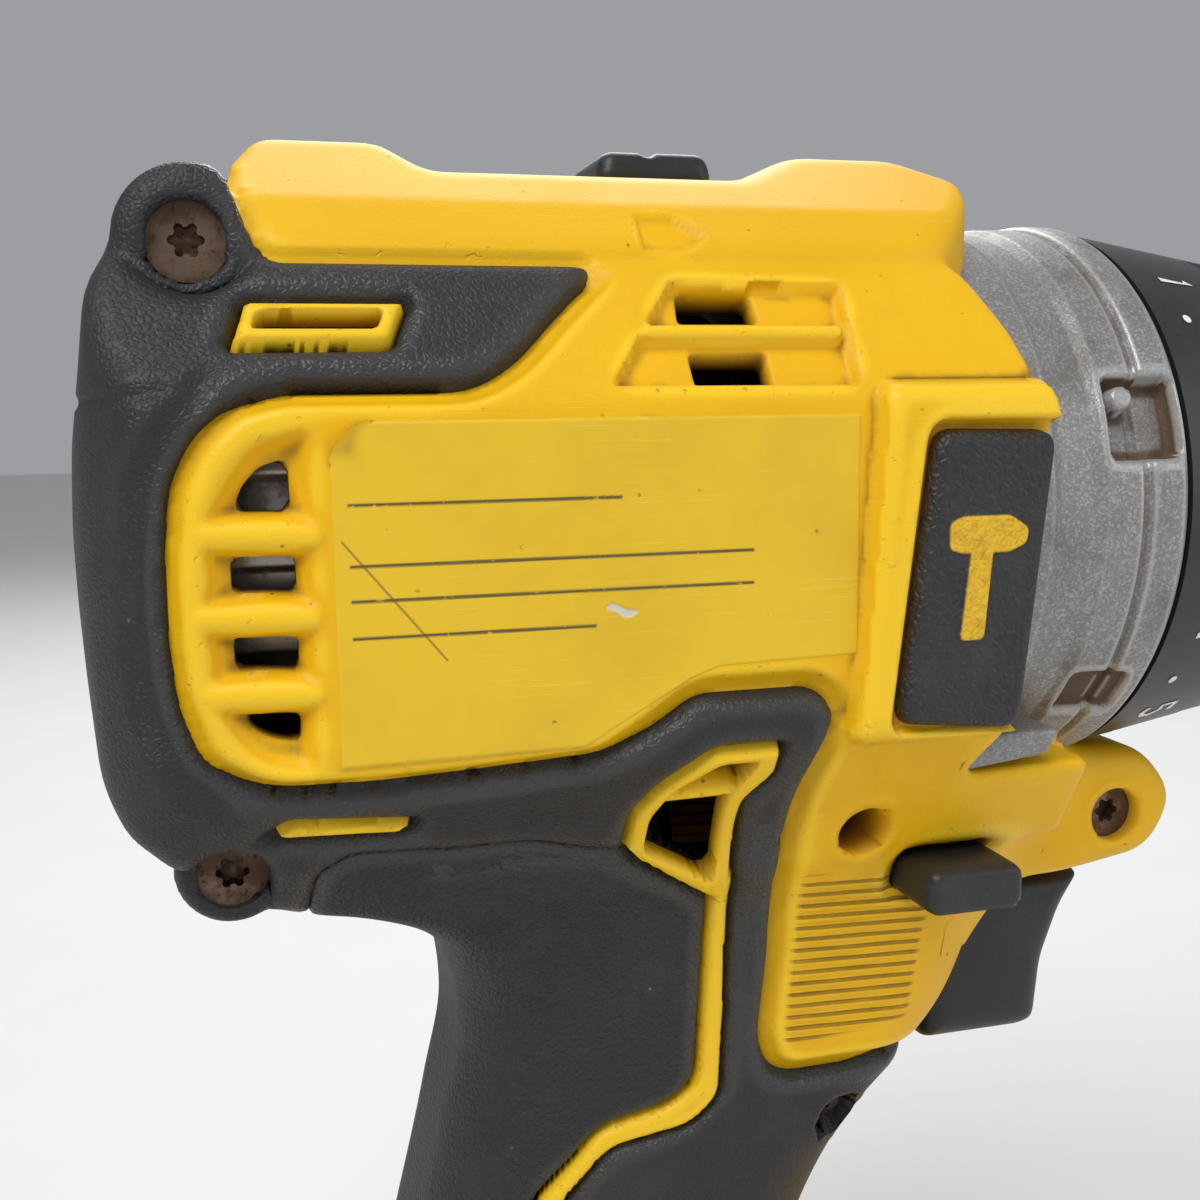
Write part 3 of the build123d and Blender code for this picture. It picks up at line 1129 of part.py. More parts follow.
with BuildPart() as speed_selector:
    with BuildSketch(Plane.XY.offset(AXIS_Z + SADDLE_TOP + GAP)):
        with Locations(((SELECTOR_REAR + SELECTOR_FRONT) / 2, 0)):
            RectangleRounded(SELECTOR_LENGTH, 2 * SELECTOR_HALF_WIDTH, 2.0)
    extrude(amount=RIB_TOP - SADDLE_TOP, taper=10.0)
    block(
        (STEM_REAR, STEM_FRONT),
        (-STEM_HALF_WIDTH, STEM_HALF_WIDTH),
        (AXIS_Z + SADDLE_TOP - STEM_DEPTH, AXIS_Z + SADDLE_TOP + 2 * GAP),
    )
speed_selector.part.label = "speed_selector"
export_step(speed_selector.part, "parts/speed_selector.step")

# Electrics in the handle and foot
BLADES = 5
BLADE_PITCH = 8.0
BLADE_THICKNESS = 0.8
BLADE_REACH = 14.0
BLADE_LOW = BATTERY_HEIGHT + 3.0
BLADE_HIGH = TOWER_TOP - 2.4
TERMINAL_FRONT = TOWER_REAR - GAP
BLADE_MIDDLES = [(blade - (BLADES - 1) / 2) * BLADE_PITCH for blade in range(BLADES)]

with BuildPart() as terminal_block:
    block(
        (TERMINAL_FRONT - TERMINAL_DEPTH + GAP, TERMINAL_FRONT),
        (-TOWER_NECK, TOWER_NECK),
        (FOOT_BOTTOM, FOOT_CEILING),
    )
terminal_block.part.label = "terminal_block"
export_step(terminal_block.part, "parts/terminal_block.step")

with BuildPart() as contact_blades:
    for middle in BLADE_MIDDLES:
        block(
            (TERMINAL_FRONT, TERMINAL_FRONT + BLADE_REACH),
            (middle - BLADE_THICKNESS / 2, middle + BLADE_THICKNESS / 2),
            (BLADE_LOW, BLADE_HIGH),
        )
contact_blades.part.label = "contact_blades"
export_step(contact_blades.part, "parts/contact_blades.step")

BOARD_THICKNESS = 1.6
CHIP_HEIGHT = 2.4
BOARD_TOP = BOARD_FLOOR + BOARD_THICKNESS
with BuildPart() as control_board:
    block((BOARD_REAR, BOARD_FRONT), (-BOARD_HALF_WIDTH, BOARD_HALF_WIDTH), (BOARD_FLOOR, BOARD_TOP))
    with Locations((0, 0, BOARD_TOP)):
        with GridLocations(8.0, 14.0, 3, 2):
            Box(5.0, 6.0, CHIP_HEIGHT, align=(Align.CENTER, Align.CENTER, Align.MIN))
control_board.part.label = "control_board"
export_step(control_board.part, "parts/control_board.step")

LIGHT_BOARD = 1.4
LENS_SPANS = ((-LENS_HALF_WIDTH, LENS_HALF_WIDTH), (LENS_Z - LENS_HALF_HEIGHT, LENS_Z + LENS_HALF_HEIGHT))
with BuildPart() as work_light_board:
    block((LENS_REAR + SEAT, LENS_REAR + SEAT + LIGHT_BOARD), *LENS_SPANS)
work_light_board.part.label = "work_light_board"
export_step(work_light_board.part, "parts/work_light_board.step")

with BuildPart() as work_light_lens:
    block((LENS_REAR + 2 * SEAT + LIGHT_BOARD, LENS_REAR + LENS_DEPTH + 1.0), *LENS_SPANS)
work_light_lens.part.label = "work_light_lens"
export_step(work_light_lens.part, "parts/work_light_lens.step")

# Motor leads straight up from the switch, battery leads up the handle from the board
LEAD_FOOT_X = -24.0
with BuildPart() as leads:
    for lead in (-1, 0, 1):
        with BuildSketch(Plane.XY.offset(AXIS_Z + SWITCH_TOP)):
            with Locations((LEAD_X, lead * LEAD_SPACING)):
                Circle(LEAD_RADIUS)
        extrude(amount=HEAD_BOTTOM + SKIN - SWITCH_TOP + 10.0)
    for lead in (-1, 1):
        with BuildSketch(Plane.XY.offset(BOARD_TOP)) as lead_foot:
            with Locations((LEAD_FOOT_X, lead * LEAD_SPACING)):
                Circle(LEAD_RADIUS)
        with BuildSketch(Plane.XY.offset(AXIS_Z + SWITCH_BOTTOM)) as lead_head:
            with Locations((LEAD_X, lead * LEAD_SPACING)):
                Circle(LEAD_RADIUS)
        loft([lead_foot.sketch, lead_head.sketch], ruled=True)
leads.part.label = "leads"
export_step(leads.part, "parts/leads.step")

# Battery pack
BATTERY_CORNER = 8.0
CELL_PITCH = 2 * CELL_RADIUS + 1.0
CELL_Z = BATTERY_WALL + CELL_RADIUS + GAP
PACK_BOARD_Z = CELL_Z + CELL_RADIUS + GAP
CLIP_GAP = BLADE_THICKNESS / 2 + GAP
CLIP_LEAF = 0.6
LATCH_DEPTH = 7.0
LATCH_FLOOR = BATTERY_HEIGHT - 8.0
LATCH_TAB_TOP = BATTERY_HEIGHT - 3.0
PACK_SCREW_RADIUS = 1.3
PACK_HEAD_RADIUS = 2.2
PACK_HEAD_HEIGHT = 1.4
PACK_POST_RADIUS = 2.8
PACK_SCREW_X = BATTERY_LENGTH / 2 - BATTERY_WALL - PACK_POST_RADIUS - LOOSE
PACK_SCREW_Y = BATTERY_HALF_WIDTH - BATTERY_WALL - PACK_POST_RADIUS - LOOSE
PACK_SCREW_TOP = BATTERY_HEIGHT - BATTERY_WALL - 4.0


def corner_bars(radius, z_start, z_end, mode=Mode.ADD):
    """Four upright bars where the pack's screws stand."""
    with BuildSketch(Plane.XY.offset(z_start)) as face:
        with GridLocations(2 * PACK_SCREW_X, 2 * PACK_SCREW_Y, 2, 2):
            Circle(radius)
    return extrude(face.sketch, amount=z_end - z_start, mode=mode)


def pack_outline(height):
    """Rounded plan outline of the pack at a height."""
    with BuildSketch(Plane.XY.offset(height)) as face:
        RectangleRounded(BATTERY_LENGTH, 2 * BATTERY_HALF_WIDTH, BATTERY_CORNER)
    return face.sketch


def pack_hollow(height):
    """Plan outline of the pack's inside at a height."""
    with BuildSketch(Plane.XY.offset(height)) as face:
        length = BATTERY_LENGTH - 2 * BATTERY_WALL
        width = 2 * BATTERY_HALF_WIDTH - 2 * BATTERY_WALL
        RectangleRounded(length, width, BATTERY_CORNER - BATTERY_WALL)
    return face.sketch


with BuildPart() as battery_lower_case:
    extrude(pack_outline(0.0), amount=BATTERY_SPLIT)
    fillet(battery_lower_case.faces().sort_by(Axis.Z)[0].edges(), BATTERY_WALL)
    extrude(pack_hollow(BATTERY_WALL), amount=BATTERY_SPLIT, mode=Mode.SUBTRACT)
    corner_bars(PACK_POST_RADIUS, BATTERY_WALL - GAP, BATTERY_SPLIT)
    corner_bars(PACK_HEAD_RADIUS + GAP, 0.0, PACK_HEAD_HEIGHT + LOOSE, mode=Mode.SUBTRACT)
    corner_bars(PACK_SCREW_RADIUS + RUN, 0.0, BATTERY_SPLIT, mode=Mode.SUBTRACT)
battery_lower_case.part.label = "battery_lower_case"
export_step(battery_lower_case.part, "parts/battery_lower_case.step")

INNER_TOP = BATTERY_HEIGHT - BATTERY_WALL
with BuildPart() as battery_upper_case:
    extrude(pack_outline(BATTERY_SPLIT), amount=BATTERY_HEIGHT - BATTERY_SPLIT)
    fillet(battery_upper_case.faces().sort_by(Axis.Z)[-1].edges(), BATTERY_WALL - 0.4)
    block((TOWER_REAR, TOWER_FRONT), (-TOWER_NECK, TOWER_NECK), (INNER_TOP, TOWER_TOP))
    block((TOWER_REAR, TOWER_FRONT), (-TOWER_FLANGE, TOWER_FLANGE), (TOWER_TOP - FLANGE_DEPTH, TOWER_TOP))
    extrude(pack_hollow(BATTERY_SPLIT), amount=INNER_TOP - BATTERY_SPLIT, mode=Mode.SUBTRACT)
    corner_bars(PACK_POST_RADIUS, BATTERY_SPLIT, INNER_TOP + GAP)
    corner_bars(PACK_SCREW_RADIUS + RUN, BATTERY_SPLIT, PACK_SCREW_TOP + LOOSE, mode=Mode.SUBTRACT)
    slot = CLIP_GAP + CLIP_LEAF + GAP
    for middle in BLADE_MIDDLES:
        block(
            (TOWER_REAR, TOWER_REAR + BLADE_REACH + 4.0),
            (middle - slot, middle + slot),
            (INNER_TOP, TOWER_TOP - 1.2),
            mode=Mode.SUBTRACT,
        )
    block(
        (LATCH_REAR - GAP, BATTERY_LENGTH),
        (-LATCH_HALF_WIDTH - GAP, LATCH_HALF_WIDTH + GAP),
        (LATCH_FLOOR - LATCH_TRAVEL - GAP, TOWER_TOP),
        mode=Mode.SUBTRACT,
    )
battery_upper_case.part.label = "battery_upper_case"
export_step(battery_upper_case.part, "parts/battery_upper_case.step")

with BuildPart() as battery_cells:
    for cell in range(CELLS):
        cell_x = (cell - (CELLS - 1) / 2) * CELL_PITCH
        cross_bar(cell_x, CELL_Z - AXIS_Z, CELL_RADIUS, -CELL_LENGTH / 2, CELL_LENGTH / 2)
battery_cells.part.label = "battery_cells"
export_step(battery_cells.part, "parts/battery_cells.step")

PACK_BOARD_TOP = PACK_BOARD_Z + BOARD_THICKNESS
with BuildPart() as battery_board:
    block((TOWER_REAR, TOWER_FRONT - 8.0), (-TOWER_FLANGE, TOWER_FLANGE), (PACK_BOARD_Z, PACK_BOARD_TOP))
battery_board.part.label = "battery_board"
export_step(battery_board.part, "parts/battery_board.step")

with BuildPart() as contact_clips:
    for middle in BLADE_MIDDLES:
        for leaf in (-CLIP_GAP - CLIP_LEAF, CLIP_GAP):
            block(
                (TOWER_REAR + 4.0, TOWER_REAR + BLADE_REACH),
                (middle + leaf, middle + leaf + CLIP_LEAF),
                (PACK_BOARD_TOP, BLADE_HIGH),
            )
contact_clips.part.label = "contact_clips"
export_step(contact_clips.part, "parts/contact_clips.step")

with BuildPart() as battery_latch:
    across = (-LATCH_HALF_WIDTH, LATCH_HALF_WIDTH)
    block((LATCH_REAR, LATCH_REAR + LATCH_DEPTH), across, (LATCH_FLOOR, BATTERY_HEIGHT))
    block((LATCH_REAR, LATCH_REAR + 3.0), across, (BATTERY_HEIGHT - 1.0, BATTERY_HEIGHT + HOOK_HEIGHT))
    block((LATCH_REAR, BATTERY_LENGTH / 2 + 1.0), across, (LATCH_FLOOR, LATCH_TAB_TOP))
battery_latch.part.label = "battery_latch"
export_step(battery_latch.part, "parts/battery_latch.step")

with BuildPart() as battery_screws:
    corner_bars(PACK_HEAD_RADIUS, LOOSE, PACK_HEAD_HEIGHT + LOOSE)
    corner_bars(PACK_SCREW_RADIUS, PACK_HEAD_HEIGHT + LOOSE, PACK_SCREW_TOP)
battery_screws.part.label = "battery_screws"
export_step(battery_screws.part, "parts/battery_screws.step")
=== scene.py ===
"""Dressed model of a worn cordless hammer drill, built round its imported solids.

Lengths are millimetres until a mesh is written. Heights called z here are measured from the
spindle axis, +X is the nose and -Y is the side that the camera sees.
"""

import json
import logging
from dataclasses import dataclass, field
from enum import Enum
from typing import Any, Callable, Optional, Sequence

import bpy
import numpy as np
from mathutils import Matrix

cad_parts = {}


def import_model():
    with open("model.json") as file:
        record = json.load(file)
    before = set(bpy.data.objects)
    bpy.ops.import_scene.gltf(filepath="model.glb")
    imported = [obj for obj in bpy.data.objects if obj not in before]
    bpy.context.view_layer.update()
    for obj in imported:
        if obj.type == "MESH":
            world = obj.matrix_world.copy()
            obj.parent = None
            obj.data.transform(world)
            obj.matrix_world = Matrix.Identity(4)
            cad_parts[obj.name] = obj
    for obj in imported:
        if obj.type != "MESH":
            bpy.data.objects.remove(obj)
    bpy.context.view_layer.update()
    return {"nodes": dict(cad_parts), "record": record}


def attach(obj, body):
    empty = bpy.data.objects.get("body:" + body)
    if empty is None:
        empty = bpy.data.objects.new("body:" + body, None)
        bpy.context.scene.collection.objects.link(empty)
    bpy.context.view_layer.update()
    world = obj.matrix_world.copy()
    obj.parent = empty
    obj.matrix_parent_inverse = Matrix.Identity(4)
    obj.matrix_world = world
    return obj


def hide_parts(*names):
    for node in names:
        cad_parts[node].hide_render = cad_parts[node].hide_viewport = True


logging.basicConfig(level=logging.INFO, format="%(message)s")
LOG = logging.getLogger("drill")

Array = np.ndarray
Pair = tuple[float, float]
Triple = tuple[float, float, float]
Quad = tuple[float, float, float, float]
Corners = tuple[Pair, ...]
Place = Triple
Colour = Triple
Material = bpy.types.Material
Finishes = dict[str, Material]
Distance = Callable[[Array, Array, Array], Array]
Flat = Callable[[Array, Array], Array]

AXIS_HEIGHT = 168.0  # of the spindle above the floor, in millimetres
MM = 0.001  # one millimetre in metres
FINE = 1.0  # how much coarser the grids are
FAR = 9.0  # distance that is given where an outline does not count
WITHIN = -0.02  # distance below which a point counts as inside an opening
# Brown of dirt, also used for the painted shade on the grip ridges' lower flanks.
DIRT_AND_SHADE: Colour = (0.085, 0.040, 0.012)


class Side(Enum):
    """The two halves of the housing, by the sign of y."""

    RIGHT = -1
    LEFT = 1


class View(Enum):
    """Flat views of the housing, by the two coordinates that they show."""

    SIDE = (0, 2)
    FRONT = (1, 2)


def smooth(value: Array, start: float, end: float) -> Array:
    """Ease from 0 at start to 1 at end with the cubic 3t^2 - 2t^3."""
    part = np.clip((value - start) / (end - start), 0.0, 1.0)
    return part * part * (3.0 - 2.0 * part)


def fade(value: Array, start: float, end: float) -> Array:
    """Ease from 1 at start to 0 at end."""
    return 1.0 - smooth(value, start, end)


def soft_max(first: Array, second: Array, blend: Any) -> Array:
    """Join two distances as their overlap, with a parabola of the given width at the edge."""
    near = np.maximum(blend - np.abs(first - second), 0.0) / blend
    return np.maximum(first, second) + near * near * blend / 4.0


def soft_min(first: Array, second: Array, blend: Any) -> Array:
    """Join two distances as their union, with a fillet of the given width."""
    return -soft_max(-first, -second, blend)


def quarter_round(inward: Array, radius: float) -> Array:
    """Rise from 0 at an edge to 1 at the radius inward, along a quarter of a circle."""
    part = 1.0 - np.clip(inward / radius, 0.0, 1.0)
    return np.sqrt(1.0 - part * part)


def round_corners(corners: Corners, radius: float, steps: int = 7) -> Array:
    """Replace each corner of a polygon by a quadratic curve between points on its two sides.

    Args:
        corners: Corner points.
        radius: Distance from a corner to where its curve starts.
        steps: Points along each curve.

    Returns:
        The rounded polygon, one point a row.
    """
    points = np.asarray(corners, float)
    before = np.roll(points, 1, 0) - points
    after = np.roll(points, -1, 0) - points
    before_size = np.linalg.norm(before, axis=1, keepdims=True)
    after_size = np.linalg.norm(after, axis=1, keepdims=True)
    start = points + before / before_size * np.minimum(radius, 0.48 * before_size)
    end = points + after / after_size * np.minimum(radius, 0.48 * after_size)
    part = np.linspace(0.0, 1.0, steps)[None, :, None]
    curve = ((1 - part) ** 2 * start[:, None] + 2 * part * (1 - part) * points[:, None]
             + part ** 2 * end[:, None])
    return curve.reshape(-1, 2)


@dataclass
class Outline:
    """A closed flat outline that knows how far any point is from it.

    Attributes:
        corners: Corner points.
        radius: Rounding of the corners.
        table_step: Spacing of a table of distances for repeated reading, or 0 for none.
    """

    corners: Corners
    radius: float = 1.0
    table_step: float = 0.0
    points: Array = field(init=False, repr=False)
    low: Array = field(init=False, repr=False)
    table: Optional[Array] = field(init=False, repr=False, default=None)

    def __post_init__(self) -> None:
        """Round the corners and fill the table."""
        self.points = round_corners(self.corners, self.radius)
        if self.table_step:
            margin = 10.0
            self.low = self.points.min(0) - margin
            count = np.ceil((self.points.max(0) + margin - self.low) / self.table_step).astype(int)
            first = self.low[0] + self.table_step * np.arange(count[0] + 1)
            second = self.low[1] + self.table_step * np.arange(count[1] + 1)
            self.table = self.exact(*np.meshgrid(first, second, indexing="ij"))

    def exact(self, first: Array, second: Array) -> Array:
        """Measure the distance to the nearest side, negative inside by the crossing rule.

        Args:
            first: First coordinates.
            second: Second coordinates.

        Returns:
            Signed distances.
        """
        nearest = np.full(first.shape, np.inf)
        inside = np.zeros(first.shape, bool)
        for start, end in zip(self.points, np.roll(self.points, -1, 0)):
            run, rise = end - start
            along = first - start[0]
            across = second - start[1]
            part = np.clip((along * run + across * rise) / max(run * run + rise * rise, 1e-12), 0, 1)
            nearest = np.minimum(nearest, (along - run * part) ** 2 + (across - rise * part) ** 2)
            if rise:
                crosses = (start[1] > second) != (end[1] > second)
                inside ^= crosses & (first < start[0] + run * (second - start[1]) / rise)
        return np.where(inside, -1.0, 1.0) * np.sqrt(nearest)

    def __call__(self, first: Array, second: Array) -> Array:
        """Give signed distances, read between the table's entries where there is one.

        Args:
            first: First coordinates.
            second: Second coordinates.

        Returns:
            Signed distances, negative inside.
        """
        if self.table is None:
            return self.exact(first, second)
        grid = self.table
        column = np.clip((first - self.low[0]) / self.table_step, 0, grid.shape[0] - 1.001)
        row = np.clip((second - self.low[1]) / self.table_step, 0, grid.shape[1] - 1.001)
        i, j = column.astype(int), row.astype(int)
        u, v = column - i, row - j
        return (grid[i, j] * (1 - u) * (1 - v) + grid[i + 1, j] * u * (1 - v)
                + grid[i, j + 1] * (1 - u) * v + grid[i + 1, j + 1] * u * v)


def drawn(*corners: Pair, radius: float = 1.0, step: float = 0.0) -> Any:
    """Dataclass field whose default is the outline through the corners."""
    return field(default_factory=lambda: Outline(corners, radius, step))


def rounded_box(across: Array, along: Array, half_across: Any, half_along: Any, corner: Any) -> Array:
    """Measure the distance to a rectangle with round corners.

    Args:
        across: First coordinates from the middle.
        along: Second coordinates from the middle.
        half_across: Half the first size.
        half_along: Half the second size.
        corner: Corner radius.

    Returns:
        Signed distances, negative inside.
    """
    first = np.abs(across) - half_across + corner
    second = np.abs(along) - half_along + corner
    outside = np.hypot(np.maximum(first, 0), np.maximum(second, 0))
    return outside + np.minimum(np.maximum(first, second), 0) - corner


def through(place: Array, knots: Array, values: Array) -> Array:
    """Run a smooth cubic through values given at rising knots.

    Args:
        place: Where to read it.
        knots: Rising places of the values.
        values: The values.

    Returns:
        The values of the cubic.
    """
    slopes = np.gradient(values, knots)
    i = np.clip(np.searchsorted(knots, place) - 1, 0, len(knots) - 2)
    width = knots[i + 1] - knots[i]
    part = np.clip((place - knots[i]) / width, 0, 1)
    return ((1 + 2 * part) * (1 - part) ** 2 * values[i] + part * (1 - part) ** 2 * width * slopes[i]
            + part * part * (3 - 2 * part) * values[i + 1]
            + part * part * (part - 1) * width * slopes[i + 1])


def axes_of(points: Array) -> Array:
    """Split points into their x, y and z, as views."""
    return np.moveaxis(points, -1, 0)


def round_x(turn: Array) -> Array:
    """Unit directions round the x axis, from the top over -Y to the bottom."""
    return np.stack([np.zeros_like(turn), -np.sin(turn), np.cos(turn)], -1)


def round_z(turn: Array) -> Array:
    """Unit directions round the z axis, from the nose over -Y to the rear."""
    return np.stack([np.cos(turn), -np.sin(turn), np.zeros_like(turn)], -1)


def trace(origins: Array, directions: Array, distance: Distance, steps: int = 44, first: float = 2.0,
          stride: float = 0.92) -> Array:
    """Walk from inside a form along rays to its surface, each step a share of the distance to it.

    Args:
        origins: Start points, inside the form.
        directions: Unit directions.
        distance: Signed distance of the form.
        steps: Number of steps.
        first: Length of the first step.
        stride: Share of the distance that a later step covers.

    Returns:
        The points where the rays leave the form.
    """
    reach = np.full(directions.shape[:-1] + (1,), first)
    for _ in range(steps):
        reach = reach - stride * distance(*axes_of(origins + reach * directions))[..., None]
    return origins + reach * directions


def normals_of(points: Array, distance: Distance, step: float = 0.2) -> Array:
    """Take unit normals from the differences of a distance in the three directions.

    Args:
        points: Points on the surface.
        distance: Signed distance of the form.
        step: Spacing of the differences.

    Returns:
        Unit normals, outward.
    """
    x, y, z = axes_of(points)
    slope = np.stack([distance(x + step, y, z) - distance(x - step, y, z),
                      distance(x, y + step, z) - distance(x, y - step, z),
                      distance(x, y, z + step) - distance(x, y, z - step)], -1)
    return slope / np.maximum(np.linalg.norm(slope, axis=-1, keepdims=True), 1e-9)


def run_lengths(points: Array) -> Array:
    """Length along a curve from its first point to each of its points."""
    return np.concatenate([[0.0], np.cumsum(np.linalg.norm(np.diff(points, axis=0), axis=1))])


def equal_runs(points: Array, places: Array, count: int) -> Array:
    """Choose so many of a curve's rising parameters that their points lie at equal distances."""
    length = run_lengths(points)
    return np.interp(np.linspace(0.0, length[-1], count), length, places)


def blurred(values: Array, reach: int) -> Array:
    """Average a grid over a square window, by running sums along each direction.

    Args:
        values: Grid of numbers.
        reach: Cells on each side of the window.

    Returns:
        The averaged grid.
    """
    for axis in (0, 1):
        pad = [(reach + 1, reach) if k == axis else (0, 0) for k in (0, 1)]
        total = np.cumsum(np.pad(values, pad, mode="edge"), axis=axis)
        ahead = np.take(total, np.arange(2 * reach + 1, total.shape[axis]), axis=axis)
        behind = np.take(total, np.arange(0, total.shape[axis] - 2 * reach - 1), axis=axis)
        values = (ahead - behind) / (2 * reach + 1)
    return values


@dataclass
class Patch:
    """A grid of points with the cells that are kept.

    Attributes:
        points: Grid of points, rows by columns by 3.
        keep: Which vertices count; a cell with none of its corners kept is left out.
        marks: Named numbers at the vertices.
        pole: Whether the last row is one point.
        ring: Whether the last column joins the first.
        cells: Which cells may be kept, or all.
    """

    points: Array
    keep: Optional[Array] = None
    marks: dict[str, Array] = field(default_factory=dict)
    pole: bool = False
    ring: bool = False
    cells: Optional[Array] = None

    def turned_over(self) -> "Patch":
        """Reverse the columns, so that the faces point the other way."""
        keep, cells = (None if grid is None else grid[:, ::-1] for grid in (self.keep, self.cells))
        marks = {name: mark[:, ::-1] for name, mark in self.marks.items()}
        return Patch(self.points[:, ::-1], keep, marks, self.pole, self.ring, cells)

    def mirrored(self) -> "Patch":
        """Reflect in the middle plane, turned over so that the faces still point out."""
        patch = self.turned_over()
        patch.points = patch.points * [1.0, -1.0, 1.0]
        return patch

    def faces(self) -> tuple[Array, Array]:
        """Join each grid cell's corners, with triangles round a pole.

        Returns:
            Corner numbers of the four-sided and of the three-sided faces.
        """
        rows, columns = self.points.shape[:2]
        number = np.arange(rows * columns).reshape(rows, columns)
        kept = np.ones((rows, columns), bool) if self.keep is None else self.keep
        if self.ring:
            number = np.concatenate([number, number[:, :1]], 1)
            kept = np.concatenate([kept, kept[:, :1]], 1)
        quads = np.stack([number[:-1, :-1], number[1:, :-1], number[1:, 1:], number[:-1, 1:]], -1)
        any_kept = kept[:-1, :-1] | kept[1:, :-1] | kept[1:, 1:] | kept[:-1, 1:]
        if self.cells is not None:
            any_kept &= self.cells
        fan = np.zeros((0, 3), int)
        if self.pole:
            tip = np.full(quads.shape[1], number[-1, 0])
            fan = np.stack([quads[-1, :, 0], tip, quads[-1, :, 3]], -1)[any_kept[-1]]
            quads, any_kept = quads[:-1], any_kept[:-1]
        return quads[any_kept], fan


def surface(name: str, patches: Sequence[Patch]) -> bpy.types.Object:
    """Write patches into one smooth mesh object in metres, leaving out points without faces.

    Args:
        name: Name of the piece.
        patches: The patches, whose rows and columns turn so that faces point outwards.

    Returns:
        The new object.
    """
    points, quads, fans, start = [], [], [], 0
    for patch in patches:
        four, three = patch.faces()
        points.append(patch.points.reshape(-1, 3))
        quads.append(four + start)
        fans.append(three + start)
        start += points[-1].shape[0]
    every = np.concatenate(points)
    four, three = np.concatenate(quads), np.concatenate(fans)
    corners = np.concatenate([four.ravel(), three.ravel()])
    used, corners = np.unique(corners, return_inverse=True)
    place = (every[used] + [0.0, 0.0, AXIS_HEIGHT]) * MM
    mesh = bpy.data.meshes.new(name)
    mesh.vertices.add(len(used))
    mesh.vertices.foreach_set("co", place.astype(np.float32).ravel())
    mesh.loops.add(len(corners))
    mesh.loops.foreach_set("vertex_index", corners.astype(np.int32).ravel())
    mesh.polygons.add(len(four) + len(three))
    starts = np.concatenate([np.arange(len(four)) * 4, 4 * len(four) + np.arange(len(three)) * 3])
    mesh.polygons.foreach_set("loop_start", starts.astype(np.int32))
    names = sorted({mark for patch in patches for mark in patch.marks})
    for mark in names:
        grids = [patch.marks.get(mark, np.zeros(patch.points.shape[:2])) for patch in patches]
        values = np.concatenate([grid.ravel() for grid in grids])[used]
        mesh.attributes.new(mark, "FLOAT", "POINT").data.foreach_set("value", values.astype(np.float32))
    mesh.update(calc_edges=True)
    mesh.polygons.foreach_set("use_smooth", np.ones(len(mesh.polygons), bool))
    piece = bpy.data.objects.new(name, mesh)
    bpy.context.scene.collection.objects.link(piece)
    LOG.info("%s: %d faces", name, len(mesh.polygons))
    return piece


class Value:
    """A material's number or colour socket; arithmetic on it adds Math nodes."""

    def __init__(self, tree: "Graph", socket: bpy.types.NodeSocket) -> None:
        """Wrap a socket of a graph."""
        self.tree = tree
        self.socket = socket

    def math(self, operation: str, *others: Any) -> "Value":
        """Add one Math node with this value and the others as its inputs."""
        inputs = dict(enumerate((self, *others)))
        return self.tree.node("ShaderNodeMath", {"operation": operation}, inputs)

    def __add__(self, other: Any) -> "Value":
        """Sum."""
        return self.math("ADD", other)

    __radd__ = __add__

    def __mul__(self, other: Any) -> "Value":
        """Product."""
        return self.math("MULTIPLY", other)

    __rmul__ = __mul__

    def __sub__(self, other: Any) -> "Value":
        """Difference."""
        return self.math("SUBTRACT", other)

    def __rsub__(self, other: Any) -> "Value":
        """Difference from a number."""
        return self * -1.0 + other

    def eased(self, low: float, high: float, start: float = 0.0, end: float = 1.0) -> "Value":
        """Map the range from low to high onto start to end with a smooth step."""
        return self.tree.node("ShaderNodeMapRange", {"interpolation_type": "SMOOTHSTEP", "clamp": True},
                              {"Value": self, "From Min": low, "From Max": high,
                               "To Min": start, "To Max": end})


